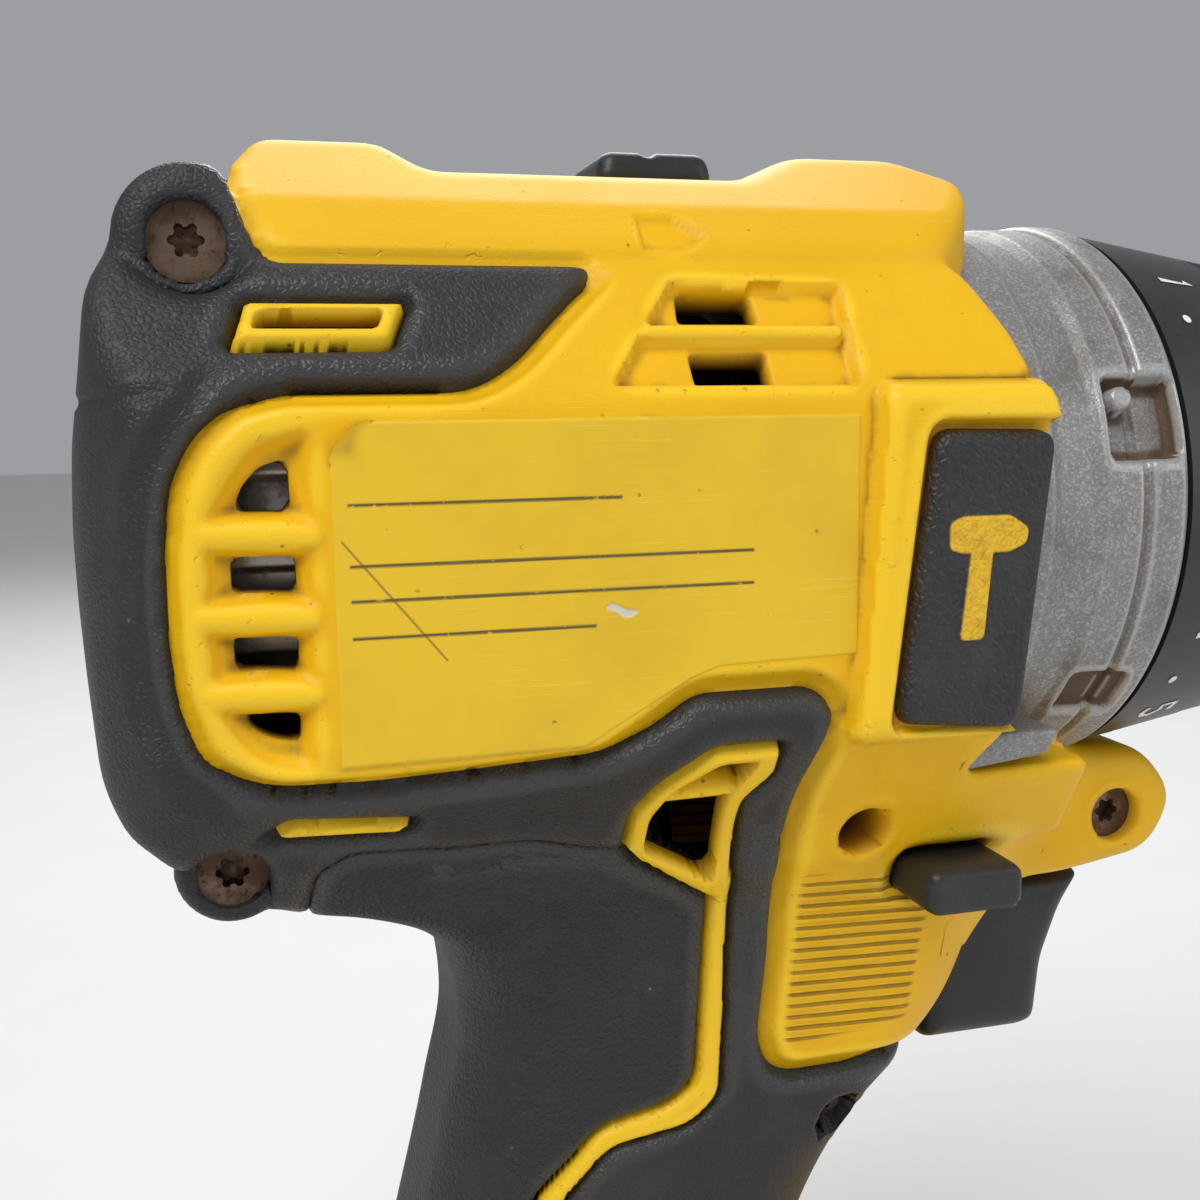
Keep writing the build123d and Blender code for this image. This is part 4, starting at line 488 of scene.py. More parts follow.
class Graph:
    """One material's nodes, with patterns measured in millimetres on Object coordinates."""

    def __init__(self, name: str) -> None:
        """Start an empty material.

        Args:
            name: The material's name.
        """
        self.material = bpy.data.materials.new(name)
        self.material.use_nodes = True
        self.nodes = self.material.node_tree.nodes
        self.links = self.material.node_tree.links
        self.nodes.clear()
        self.place = self.vector("SCALE", self.node("ShaderNodeTexCoord", {}, {}, "Object"), 1.0 / MM)

    def node(self, kind: str, settings: dict[str, Any], inputs: dict[Any, Any],
             output: Any = 0) -> Value:
        """Add any node.

        Args:
            kind: Node type.
            settings: Attributes, set before the sockets.
            inputs: Socket names or numbers, with values or links.
            output: Name or number of the socket that is given back.

        Returns:
            The chosen output.
        """
        made = self.nodes.new(kind)
        for key, value in settings.items():
            setattr(made, key, value)
        for key, value in inputs.items():
            if isinstance(value, Value):
                self.links.new(value.socket, made.inputs[key])
            else:
                made.inputs[key].default_value = value
        return Value(self, made.outputs[output])

    def vector(self, operation: str, first: Any, second: Any) -> Value:
        """Add a Vector Math node; SCALE takes a number, the others a vector."""
        inputs = {0: first, "Scale" if operation == "SCALE" else 1: second}
        return self.node("ShaderNodeVectorMath", {"operation": operation}, inputs)

    def stretched(self, x: float, y: float, z: float, turn: float = 0.0) -> Value:
        """Object coordinates in millimetres, turned about y by radians and scaled along the axes."""
        return self.node("ShaderNodeMapping", {}, {
            "Vector": self.place, "Rotation": (0.0, turn, 0.0), "Scale": (x, y, z)})

    def noise(self, size: float, detail: float = 3.0, rough: float = 0.55,
              at: Optional[Value] = None) -> Value:
        """Clouds from 0 to 1, of a size in millimetres, with octaves and the finer ones' strength."""
        return self.node("ShaderNodeTexNoise", {}, {
            "Vector": at or self.place, "Scale": 1.0 / size, "Detail": detail, "Roughness": rough})

    def cells(self, size: float, feature: str = "F1", output: str = "Distance",
              at: Optional[Value] = None) -> Value:
        """Cell pattern of a size in millimetres, by a Voronoi feature and its Distance or Color."""
        return self.node("ShaderNodeTexVoronoi", {"feature": feature},
                         {"Vector": at or self.place, "Scale": 1.0 / size}, output)

    def mark(self, name: str) -> Value:
        """Read a vertex attribute."""
        return self.node("ShaderNodeAttribute", {"attribute_name": name}, {}, "Fac")

    def mix(self, factor: Any, first: Any, second: Any) -> Value:
        """Mix two colours or links; the factor is the second one's share."""
        made = [value if isinstance(value, Value) else (*value, 1.0) for value in (first, second)]
        return self.node("ShaderNodeMix", {"data_type": "RGBA", "clamp_factor": True},
                         {0: factor, 6: made[0], 7: made[1]}, 2)

    def bump(self, height: Value, depth: float, strength: float = 1.0) -> Value:
        """Normal bent by heights, whose step from 0 to 1 is a depth in millimetres."""
        return self.node("ShaderNodeBump", {}, {
            "Height": height, "Distance": depth * MM, "Strength": strength})

    def shade(self, **sockets: Any) -> Material:
        """Close the graph with a Principled shader.

        Args:
            sockets: Values or links by socket name, with _ for a space.

        Returns:
            The material.
        """
        named = {key.replace("_", " "): (*value, 1.0) if isinstance(value, tuple) else value
                 for key, value in sockets.items()}
        shader = self.node("ShaderNodeBsdfPrincipled", {}, named)
        output = self.nodes.new("ShaderNodeOutputMaterial")
        self.links.new(shader.socket, output.inputs["Surface"])
        return self.material


@dataclass(frozen=True)
class MouldedShell:
    """Glass-filled yellow nylon, finely grained, dirty in its corners and rubbed on its edges."""

    name: str = "shell_yellow"
    colour: Colour = (0.84, 0.48, 0.002)
    deep: Colour = (0.62, 0.30, 0.003)
    worn: Colour = (0.92, 0.60, 0.022)
    shadow: Colour = (0.014, 0.010, 0.007)
    grain: float = 0.32

    def material(self) -> Material:
        """Mix clean, dusty and rubbed yellow by the crevice marks, noise and fine scratches, with painted
        shade on the grip ridges' lower flanks and in deep pits.

        Returns:
            The material.
        """
        graph = Graph(self.name)
        broad = graph.noise(26.0, 4.0)
        fine = graph.noise(3.2, 4.0, 0.65)
        tone = graph.mix(broad.eased(0.35, 0.7), self.deep, self.colour)
        tone = graph.mix(0.72, tone, self.colour)
        crevice = graph.mark("crevice")
        wear = graph.mark("wear")
        spread = (fine - 0.5) * 0.9 * crevice.eased(0.0, 0.3)
        grime = (crevice * 1.4 + spread).eased(0.25, 1.25, 0.0, 0.85)
        dust = (graph.noise(7.0, 5.0, 0.7) * broad).eased(0.27, 0.44, 0.0, 0.26)
        tone = graph.mix(dust, tone, self.deep)
        scratch = self.scratches(graph)
        tone = graph.mix(wear.eased(0.12, 0.6, 0.0, 0.7), tone, self.worn)
        tone = graph.mix(scratch * 0.28, tone, self.worn)
        specks = graph.cells(2.6).eased(0.05, 0.11, 1.0, 0.0) * fine.eased(0.5, 0.62)
        tone = graph.mix(specks * 0.75, tone, DIRT_AND_SHADE)
        # Dark bands on the lower, downward-facing flank of each grip ridge, patchy by noise, in the dirt
        # colour: painted shade under the ridges. The same bands also dent the bump.
        along, up = (graph.node("ShaderNodeSeparateXYZ", {}, {0: graph.place}, axis) for axis in "XZ")
        shaded_flank = (up * 4.62 + along * 0.185).math("SINE")
        shaded_flank = shaded_flank.eased(0.35, 0.95) * graph.mark("ridge")
        tone = graph.mix(shaded_flank * (0.35 + fine * 0.6), tone, DIRT_AND_SHADE)
        tone = graph.mix(grime, tone, DIRT_AND_SHADE)
        tone = graph.mix(graph.mark("pit"), tone, self.shadow)
        nicks = graph.noise(1.1, 2.0).eased(0.66, 0.74) * wear.eased(0.1, 0.35)
        grain = graph.noise(self.grain, 2.0) + graph.cells(0.55).eased(0.0, 0.6) * 0.6
        relief = grain * 0.42 - scratch * 0.4 - nicks * 2.2 - shaded_flank * 5.0
        rough = (0.50 + grime * 0.3 + dust * 0.3) - wear.eased(0.1, 0.6) * 0.1
        return graph.shade(Base_Color=tone, Roughness=rough, Normal=graph.bump(relief, 0.07, 0.7),
                           Specular_IOR_Level=0.3)

    @staticmethod
    def scratches(graph: Graph) -> Value:
        """Thin streaks in two directions where a broad noise lets them through.

        Args:
            graph: The material's graph.

        Returns:
            1 on a streak, 0 elsewhere.
        """
        first = graph.noise(1.0, 1.0, 0.5, graph.stretched(0.07, 0.4, 4.2, 0.85)).eased(0.69, 0.73)
        second = graph.noise(1.0, 1.0, 0.5, graph.stretched(0.09, 0.4, 3.6, -0.55)).eased(0.69, 0.73)
        first = first * graph.noise(14.0).eased(0.52, 0.62)
        return first + second * graph.noise(17.0, 2.0).eased(0.54, 0.64)


@dataclass(frozen=True)
class SoftRubber:
    """Overmoulded dark rubber with a leathery grain, dust in the hollows and polished edges."""

    name: str = "rubber_black"
    colour: Colour = (0.020, 0.021, 0.024)
    dusty: Colour = (0.075, 0.072, 0.068)
    lint: Colour = (0.30, 0.27, 0.22)
    grain: float = 0.62
    depth: float = 0.075
    rough: float = 0.5

    def material(self) -> Material:
        """Mix black and dust; the grain is a cell pattern bent by noise.

        Returns:
            The material.
        """
        graph = Graph(self.name)
        broad = graph.noise(18.0, 4.0, 0.6)
        fine = graph.noise(1.6, 3.0, 0.7)
        crevice = graph.mark("crevice")
        wear = graph.mark("wear")
        dust = (broad * 0.8 + fine * 0.35).eased(0.50, 0.86, 0.0, 0.30)
        tone = graph.mix(dust, self.colour, self.dusty)
        tone = graph.mix(wear.eased(0.1, 0.7, 0.0, 0.35), tone, self.dusty)
        tone = graph.mix((crevice * fine).eased(0.15, 0.6, 0.0, 0.3), tone, DIRT_AND_SHADE)
        lint = graph.cells(3.6).eased(0.03, 0.07, 1.0, 0.0) * fine.eased(0.55, 0.7)
        tone = graph.mix(lint * 0.7, tone, self.lint)
        bent = graph.vector("ADD", graph.place, graph.vector("SCALE", graph.node(
            "ShaderNodeTexNoise", {}, {"Vector": graph.place, "Scale": 1.1}, "Color"), 0.5))
        cells = graph.cells(self.grain, "DISTANCE_TO_EDGE", "Distance", bent).eased(0.0, 0.28)
        relief = cells + graph.noise(0.28, 2.0) * 0.5
        rough = self.rough + dust * 0.35 - wear.eased(0.1, 0.7) * 0.12
        return graph.shade(Base_Color=tone, Roughness=rough, Normal=graph.bump(relief, self.depth, 0.75),
                           Specular_IOR_Level=0.38)


@dataclass(frozen=True)
class CastPaint:
    """Silver paint with metal flakes on a rough casting, stained in its hollows."""

    name: str = "case_silver"
    colour: Colour = (0.235, 0.235, 0.23)
    bright: Colour = (0.55, 0.55, 0.54)
    dark: Colour = (0.13, 0.13, 0.13)
    stain: Colour = (0.12, 0.10, 0.075)

    def material(self) -> Material:
        """Flakes are small cells of random brightness; stains follow noise and crevices.

        Returns:
            The material.
        """
        graph = Graph(self.name)
        flake = graph.node("ShaderNodeSeparateColor", {}, {"Color": graph.cells(0.22, "F1", "Color")})
        tone = graph.mix(flake.eased(0.55, 1.0) * 0.4, self.colour, self.bright)
        tone = graph.mix(flake.eased(0.35, 0.0) * 0.3, tone, self.dark)
        broad = graph.noise(9.0, 5.0, 0.65)
        tone = graph.mix(broad.eased(0.5, 0.74, 0.0, 0.55), tone, self.stain)
        crevice = graph.mark("crevice")
        grime = (crevice * 1.4 * broad).eased(0.08, 0.6, 0.0, 0.9)
        tone = graph.mix(grime, tone, DIRT_AND_SHADE)
        wear = graph.mark("wear").eased(0.1, 0.5)
        tone = graph.mix(wear * 0.4, tone, self.bright)
        relief = graph.noise(0.5, 3.0) * 0.7 + graph.cells(0.34).eased(0.0, 0.5) * 0.5
        rough = 0.40 + broad * 0.2 + grime * 0.3 - wear * 0.1
        return graph.shade(Base_Color=tone, Roughness=rough, Metallic=0.4 - grime * 0.4,
                           Normal=graph.bump(relief, 0.06, 0.8))


@dataclass(frozen=True)
class MouldedBlack:
    """Hard black plastic with a fine spark texture and a little dust."""

    name: str = "plastic_black"
    colour: Colour = (0.017, 0.017, 0.018)
    dusty: Colour = (0.085, 0.08, 0.072)
    rough: float = 0.42

    def material(self) -> Material:
        """Mix black with dust by noise over a fine spark grain.

        Returns:
            The material.
        """
        graph = Graph(self.name)
        broad = graph.noise(12.0, 5.0, 0.62)
        fine = graph.noise(0.9, 3.0, 0.7)
        dust = (broad * 0.75 + fine * 0.4).eased(0.52, 0.9, 0.0, 0.32)
        tone = graph.mix(dust, self.colour, self.dusty)
        tone = graph.mix(graph.mark("wear").eased(0.1, 0.6, 0.0, 0.3), tone, self.dusty)
        relief = graph.noise(0.32, 2.0) + graph.noise(0.9, 2.0) * 0.4
        return graph.shade(Base_Color=tone, Roughness=self.rough + dust * 0.4,
                           Normal=graph.bump(relief, 0.05, 0.6), Specular_IOR_Level=0.45)


@dataclass(frozen=True)
class Metal:
    """A bare metal with brushed or turned marks and patches of tarnish."""

    name: str
    colour: Colour
    tarnish: Colour
    spread: float = 0.3  # share of the surface that is tarnished
    rough: float = 0.3
    lines: float = 0.0  # pitch of fine lines across x in millimetres, or 0

    def material(self) -> Material:
        """Mix metal and tarnish by noise; lines are noise stretched round the axis.

        Returns:
            The material.
        """
        graph = Graph(self.name)
        patch = graph.noise(4.5, 5.0, 0.7).eased(0.75 - 0.5 * self.spread, 0.95 - 0.5 * self.spread)
        spots = graph.noise(0.8, 3.0, 0.7).eased(0.55, 0.72) * (0.25 + self.spread * 0.6)
        stain = (patch * 0.7 + spots).math("MINIMUM", 1.0)
        tone = graph.mix(stain, self.colour, self.tarnish)
        relief = graph.noise(0.5, 4.0, 0.7)
        if self.lines:
            drawn_out = graph.stretched(1.0 / self.lines, 0.02, 0.02)
            relief = relief * 0.3 + graph.noise(1.0, 2.0, 0.6, drawn_out)
        return graph.shade(Base_Color=tone, Metallic=1.0 - stain * 0.6, Roughness=stain * 0.4 + self.rough,
                           Normal=graph.bump(relief, 0.05, 0.6))


@dataclass(frozen=True)
class LabelFilm:
    """Dull yellow film with plain printed lines and faint scuffs."""

    name: str = "label_film"
    colour: Colour = (0.78, 0.50, 0.010)
    ink: Colour = (0.045, 0.035, 0.02)
    faded: Colour = (0.60, 0.35, 0.008)
    scraped: Colour = (0.90, 0.66, 0.10)
    backing: Colour = (0.62, 0.58, 0.48)
    scored: Colour = (0.10, 0.06, 0.02)

    def material(self) -> Material:
        """Film with a plain ruled band from the marks, scuffs and a dark rim at its cut edge.

        Returns:
            The material.
        """
        graph = Graph(self.name)
        broad = graph.noise(15.0, 4.0, 0.6)
        scuff = graph.noise(1.2, 4.0, 0.75)
        tone = graph.mix(broad.eased(0.4, 0.7, 0.0, 0.4), self.colour, self.faded)
        ink = graph.mark("ink") * scuff.eased(0.28, 0.42)
        tone = graph.mix(ink * 0.92, tone, self.ink)
        streak = MouldedShell.scratches(graph)
        tone = graph.mix(streak * 0.3, tone, self.scraped)
        tone = graph.mix(graph.mark("torn").eased(0.0, 0.25), tone, self.backing)
        tone = graph.mix(graph.mark("scored").eased(0.0, 0.12, 0.0, 0.7), tone, self.scored)
        tone = graph.mix((graph.mark("crevice") * scuff).eased(0.25, 0.7, 0.0, 0.25), tone, DIRT_AND_SHADE)
        specks = graph.cells(3.4).eased(0.04, 0.09, 1.0, 0.0) * scuff.eased(0.5, 0.62)
        tone = graph.mix(specks * 0.7, tone, DIRT_AND_SHADE)
        relief = graph.noise(0.22, 2.0) * 0.6 + graph.noise(9.0, 2.0) * 3.0 - streak * 0.4
        return graph.shade(Base_Color=tone, Roughness=0.44 + scuff * 0.18,
                           Normal=graph.bump(relief, 0.035, 0.7))


@dataclass(frozen=True)
class PlainFinish:
    """A simple coloured finish with mottling, for boards, leads, wraps and lenses."""

    name: str
    colour: Colour
    second: Colour  # of the mottling
    rough: float = 0.4
    metallic: float = 0.0
    size: float = 2.0  # of the mottling in millimetres
    clear: float = 0.0  # share of the light that passes

    def material(self) -> Material:
        """Mix the two colours by noise over a fine grain.

        Returns:
            The material.
        """
        graph = Graph(self.name)
        cloud = graph.noise(self.size, 4.0, 0.65)
        tone = graph.mix(cloud.eased(0.4, 0.66), self.colour, self.second)
        return graph.shade(Base_Color=tone, Roughness=self.rough + cloud * 0.1, Metallic=self.metallic,
                           Transmission_Weight=self.clear,
                           Normal=graph.bump(graph.noise(0.4, 3.0), 0.03, 0.6))


@dataclass(frozen=True)
class PadRubber:
    """Black grained rubber whose raised picture is moulded in yellow."""

    name: str = "pad_rubber"
    black: Colour = (0.015, 0.015, 0.016)
    dusty: Colour = (0.10, 0.095, 0.085)
    yellow: Colour = (0.74, 0.44, 0.006)
    dull: Colour = (0.36, 0.19, 0.01)

    def material(self) -> Material:
        """Mix black and yellow by the picture mark over one shared grain.

        Returns:
            The material.
        """
        graph = Graph(self.name)
        fine = graph.noise(1.3, 4.0, 0.7)
        dust = graph.noise(8.0, 4.0).eased(0.45, 0.75, 0.0, 0.35)
        black = graph.mix(dust * fine, self.black, self.dusty)
        yellow = graph.mix(fine.eased(0.45, 0.7, 0.0, 0.5), self.yellow, self.dull)
        tone = graph.mix(graph.mark("picture").eased(-0.12, 0.12), black, yellow)
        tone = graph.mix((graph.mark("crevice") * fine).eased(0.2, 0.6, 0.0, 0.4), tone, DIRT_AND_SHADE)
        cells = graph.cells(0.8, "DISTANCE_TO_EDGE").eased(0.0, 0.3) + graph.noise(0.3, 2.0) * 0.5
        return graph.shade(Base_Color=tone, Roughness=0.48 + dust * 0.3,
                           Normal=graph.bump(cells, 0.11, 0.8))


@dataclass
class HousingForm:
    """Distances of the housing's smooth base form: barrel, spine, ears, handle, foot and boss."""

    side: Outline = drawn(
        (-44, -36.5), (-50.5, -33.6), (-57, -28.6), (-59, -26), (-61.1, -23.4), (-62.7, -20.4),
        (-63.6, -12), (-64.1, -5), (-64.2, 1), (-63.6, 8.3), (-62.1, 15.4), (-61, 21.6), (-58.9, 26.5),
        (-55.8, 31), (-51, 31), (-49.6, 33.4), (-46.2, 38), (-34.8, 38), (-30.5, 34.4), (2, 34.4),
        (10, 38), (21, 38), (27, 35), (31, 27.5), (34, 18), (36, -36.5), radius=1.8, step=0.25)
    barrel: Outline = drawn(
        (-40, 33), (9, 32.3), (17, 29.5), (26, 24), (33, 13.6), (34, 11.6), (34, -19.6),
        (28.5, -27.6), (23, -36.5), (-40, -36.5), radius=2.2, step=0.25)
    spine: Outline = drawn(
        (-40, 38), (9, 38), (20.8, 30.6), (24.3, 26.8), (24.7, 25.6), (24.7, 5), (-40, 5),
        radius=0.7, step=0.2)
    plan: Outline = drawn(
        (50, -40), (50, 36), (-56, 36), (-62, 28), (-65, 18), (-65, -40), radius=3.0, step=0.3)
    spine_plan: Outline = drawn(
        (-51.5, -40), (-51.5, 30), (12, 26), (18.8, 24.8), (25, 19), (29.5, 10), (31, 0), (31, -40),
        radius=4.0, step=0.3)
    front: Outline = drawn(
        (18, 45), (19, 28), (22.2, 21.8), (24, 18.4), (25.2, 13.5), (26.4, 10.6), (23.2, -20.9),
        (20.4, -26.2), (31.6, -25.6), (60, -26.5), (60, 45), radius=1.6, step=0.3)
    boss: Outline = drawn(
        (18, -28.0), (55, -30.2), (60, -36.5), (56.5, -43.5), (44, -45.5), (18, -45.5),
        radius=3.5, step=0.3)
    boss_half: float = 13.0
    boss_blend: float = 8.0
    sleeve_radius: float = 30.6
    sleeve_span: Pair = (23.0, 17.0)
    ears: tuple[Quad, ...] = (
        (-52.6, 26.2, 6.2, 25.4), (-52, -30.8, 4.9, 23.6))
    ear_root: Pair = (-47.0, 25.3)
    ear_slope: Pair = (0.939, 0.344)
    handle_top: float = -25.8
    handle_sections: tuple[Quad, ...] = (
        (-121, -44, 5, 20), (-108, -40, 4, 18), (-90, -36, 8.5, 17.5), (-70, -31, 18, 18.3),
        (-58, -28.6, 29, 19), (-48, -30, 32.6, 20.3), (-42, -32.6, 34, 21.6), (-36, -38.5, 35, 23),
        (-30, -46, 36, 23.5))
    handle_corner: float = 12.5
    web_corner: float = 5.0
    fillet_widths: Pair = (5.0, 4.0)
    foot_low: float = -137.1
    foot_high: float = -115.0
    foot_half: Pair = (53.0, 35.0)
    foot_middle: float = -1.0
    foot_taper: float = 0.14
    foot_corner: float = 11.0
    foot_blend: float = 8.0

    def barrel_and_spine(self, x: Array, y: Array, z: Array) -> Array:
        """Barrel cut by the gear case's window, joined with the spine and ears.

        Args:
            x, y, z: Places along, across and up from the axis.

        Returns:
            Signed distances.
        """
        wide = np.abs(y)
        side = self.side(x, z)
        barrel = soft_max(soft_max(side, self.barrel(wide, z), 1.8), self.plan(x, wide), 2.0)
        barrel = soft_max(barrel, -self.front(x, z), 1.2)
        spine = soft_max(soft_max(side, self.spine(wide, z), 1.4), self.spine_plan(x, wide), 1.8)
        head = soft_min(barrel, spine, 0.5)
        for ear_x, ear_z, radius, reach in self.ears:
            away = np.hypot(x - ear_x, z - ear_z) - radius
            root = ((x - self.ear_root[0]) * self.ear_slope[0] + (z - self.ear_root[1]) * self.ear_slope[1])
            ear = soft_max(soft_max(away, wide - reach, 2.0), np.where(z > 0, root, -FAR), 1.2)
            face = np.maximum(away + 1.0, reach - wide)
            head = soft_max(soft_min(head, ear, 1.2), -face, 1.6)
        return head

    def head(self, x: Array, y: Array, z: Array) -> Array:
        """Barrel, spine and ears with the sleeve under the gear case."""
        return np.minimum(self.barrel_and_spine(x, y, z), self.sleeve(x, y, z))

    def sleeve(self, x: Array, y: Array, z: Array) -> Array:
        """Cylinder just under the gear case."""
        middle, half = self.sleeve_span
        return np.maximum(np.hypot(y, z) - self.sleeve_radius, np.abs(x - middle) - half)

    def handle_section(self, z: Array) -> list[Array]:
        """Back, front and half width of the handle at each height, on cubics through the table."""
        heights, *columns = np.array(self.handle_sections, float).T
        return [through(z, heights, column) for column in columns]

    def handle(self, x: Array, y: Array, z: Array) -> Array:
        """Rounded rectangles whose back, front and width follow the heights, on a tapered foot.

        Args:
            x, y, z: Places along, across and up from the axis.

        Returns:
            Signed distances.
        """
        back, front, half = self.handle_section(z)
        corner = self.handle_corner - self.web_corner * smooth(z, -52.0, -37.0) * smooth(-x, 0.0, 12.0)
        grip = rounded_box(x - (back + front) / 2, y, (front - back) / 2, half, corner)
        grip = soft_max(grip, z - self.handle_top, 2.0)
        inset = self.foot_taper * np.maximum(z - self.foot_low, 0.0)
        foot = rounded_box(x - self.foot_middle, y, self.foot_half[0] - inset, self.foot_half[1] - inset,
                           self.foot_corner)
        foot = soft_max(foot, z - self.foot_high, 3.0)
        return soft_max(soft_min(grip, foot, self.foot_blend), self.foot_low - z, 1.0)

    def nose_boss(self, x: Array, y: Array, z: Array) -> Array:
        """Screw boss that stands forward above the trigger."""
        return soft_max(self.boss(x, z), np.abs(y) - self.boss_half, 3.5)

    def shell(self, x: Array, y: Array, z: Array) -> Array:
        """Head and handle with a fillet between them that widens at the back."""
        return soft_min(self.head(x, y, z), self.handle(x, y, z), self.fillet(x))

    def fillet(self, x: Array) -> Array:
        """Width of the fillet under the barrel."""
        return self.fillet_widths[0] + self.fillet_widths[1] * smooth(-x, 22.0, 32.0)

    def whole(self, x: Array, y: Array, z: Array) -> Array:
        """Everything, with the boss."""
        return soft_min(self.shell(x, y, z), self.nose_boss(x, y, z), self.boss_blend)


@dataclass
class Skin:
    """A traced grid of the housing's right half with its normals."""

    points: Array
    normals: Array
    keep: Array
    pole: bool = False

    def sizes(self, view: View) -> Array:
        """Longer side of the cells at each vertex, in a flat view.

        Args:
            view: The view.

        Returns:
            Lengths, one for each vertex.
        """
        flat = self.points[..., list(view.value)]
        down = np.linalg.norm(np.diff(flat, axis=0, append=flat[-2:-1]), axis=-1)
        across = np.linalg.norm(np.diff(flat, axis=1, append=flat[:, -2:-1]), axis=-1)
        return np.clip(np.maximum(down, across), 0.2, 0.9 * FINE)

    def turned_over(self) -> "Skin":
        """Reverse the columns, so that the faces point the other way."""
        return Skin(self.points[:, ::-1], self.normals[:, ::-1], self.keep[:, ::-1], self.pole)

    def sound(self, longest: float = 9.0) -> Array:
        """Find the cells that do not bridge a gap.

        Args:
            longest: Greatest length of a cell's diagonals.

        Returns:
            One truth value for each cell.
        """
        first = np.linalg.norm(self.points[1:, 1:] - self.points[:-1, :-1], axis=-1)
        second = np.linalg.norm(self.points[1:, :-1] - self.points[:-1, 1:], axis=-1)
        return np.maximum(first, second) < longest


@dataclass
class SkinMaker:
    """Rays that sample the housing's right half at about equal spacing."""

    form: HousingForm
    spacing: float = 0.40
    head_line: Triple = (-2.0, 32.4, -45.0)  # height, first and last x of the points where the rays start
    foot_line: Triple = (-131.0, 41.0, -43.0)
    boss_line: Triple = (-37.5, 24.0, 47.0)
    grip_heights: Triple = (-44.0, -68.0, -107.0)  # top, where the rings spread, and bottom
    grip_tilts: Pair = (1.15, -0.30)  # steepest, under the barrel and over the foot
    grip_rear: float = -16.0
    head_ends: Triple = (-33.5, -40.0, -31.5)  # x of a step in the skin's edge, heights behind and ahead
    grip_starts: Triple = (-33.0, -38.8, -30.3)
    grip_end: float = -114.3
    sole_top: float = -110.5
    trigger_roof: Triple = (10.3, 30.0, -45.5)  # half width, rear end and height over the trigger
    head_runs: Pair = (122.0, 44.0)  # lengths that are sampled round a section and round an end
    grip_runs: Triple = (88.0, 30.0, 12.0)  # the same, under the barrel and over the foot
    foot_runs: Pair = (92.0, 24.0)
    boss_runs: Pair = (44.0, 20.0)

    @staticmethod
    def turns(ring: Callable[[Array], Array], middle: Place, form: Distance, count: int) -> Array:
        """Choose turns, up to half of one, whose rays from the middle land at equal distances."""
        turn = np.linspace(0.0, np.pi, 721)
        return equal_runs(trace(np.array(middle), ring(turn), form), turn, count)

    @staticmethod
    def planes(ring: Array, stations: Array, height: float, fan: int, form: Distance,
               both_ends: bool = False) -> Array:
        """Trace a ring of rays at each station along x, then swing it a quarter turn to a pole.

        Args:
            ring: Directions across the tool.
            stations: Places along x.
            height: Height of the line that the rays start on.
            fan: Steps of the quarter turn.
            form: Signed distance of the form.
            both_ends: Whether the first end has a fan too, whose pole stays a tiny ring.

        Returns:
            Grid of points, with its edges on the middle plane.
        """
        swing = np.linspace(0.0, np.pi / 2, fan)[1:]
        lead = -swing[::-1] if both_ends else swing[:0]
        origin = np.concatenate([np.full(len(lead), stations[0]), stations,
                                 np.full(len(swing), stations[-1])])
        swing = np.concatenate([lead, np.zeros(len(stations)), swing])
        swing[0] += 1e-4 if both_ends else 0.0
        swing = swing[:, None, None]
        heading = np.sign(stations[-1] - stations[0]) * np.array([1.0, 0.0, 0.0])
        starts = np.stack([origin, np.zeros_like(origin), np.full_like(origin, height)], -1)[:, None]
        points = trace(starts, ring[None] * np.cos(swing) + np.sin(swing) * heading, form)
        points[:, [0, -1], 1] = 0.0
        return points

    def pages(self) -> Skin:
        """Trace rays in planes across the barrel, then a fan round its rear to one pole.

        Returns:
            The head's skin.
        """
        step = self.spacing * FINE
        height, first, last = self.head_line
        around, fan = (int(run / step) for run in self.head_runs)
        turn = self.turns(round_x, (-20.0, 0.0, height), self.form.head, around)
        stations = np.arange(first, last, -step)
        points = self.planes(round_x(turn), stations, height, fan, self.form.shell)
        x, y, z = axes_of(points)
        bend, rear, front = self.head_ends
        keep = np.where(x < bend, z > rear, z > front)
        bare = soft_min(self.form.barrel_and_spine(x, y, z), self.form.handle(x, y, z), self.form.fillet(x))
        keep &= bare < 2.0
        return Skin(points, normals_of(points, self.form.shell), keep, True)

    def rings(self) -> Skin:
        """Trace rays round the handle, tilting up under the barrel and down over the foot.

        Returns:
            The handle's skin.
        """
        step = self.spacing * FINE
        top, bend, bottom = self.grip_heights
        around, above, below = (int(run / step) for run in self.grip_runs)
        turn = self.turns(round_z, (2.0, 0.0, -50.0), self.form.handle, around)
        rise = self.grip_tilts[0] * np.linspace(1.0, 0.0, above) ** 1.6
        level = np.arange(top, bend, -step * 0.92)
        lower = np.arange(level[-1] - step, bottom, -step * 1.6)
        drop = np.linspace(0.0, self.grip_tilts[1], below)[1:]
        height = np.concatenate([np.full(len(rise), top), level[1:], lower, np.full(len(drop), lower[-1])])
        tilt = np.concatenate([rise, np.zeros(len(level) - 1 + len(lower)), drop])
        back, front, _ = self.form.handle_section(height)
        middle = np.maximum((back + front) / 2, self.grip_rear)
        starts = np.stack([middle, np.zeros_like(middle), height], -1)[:, None]
        directions = round_z(turn)[None] * np.cos(tilt)[:, None, None]
        directions[..., 2] = np.sin(tilt)[:, None]
        points = trace(starts, directions, self.form.shell)
        points[:, [0, -1], 1] = 0.0
        x, y, z = axes_of(points)
        bend, rear, front = self.grip_starts
        keep = np.where(x < bend, z < rear, z < front)
        keep |= (x > 19.0) & (z < self.form.handle_top + 0.8) & (self.form.sleeve(x, y, z) > -3.0)
        keep &= z > self.grip_end
        return Skin(points, normals_of(points, self.form.shell), keep).turned_over()

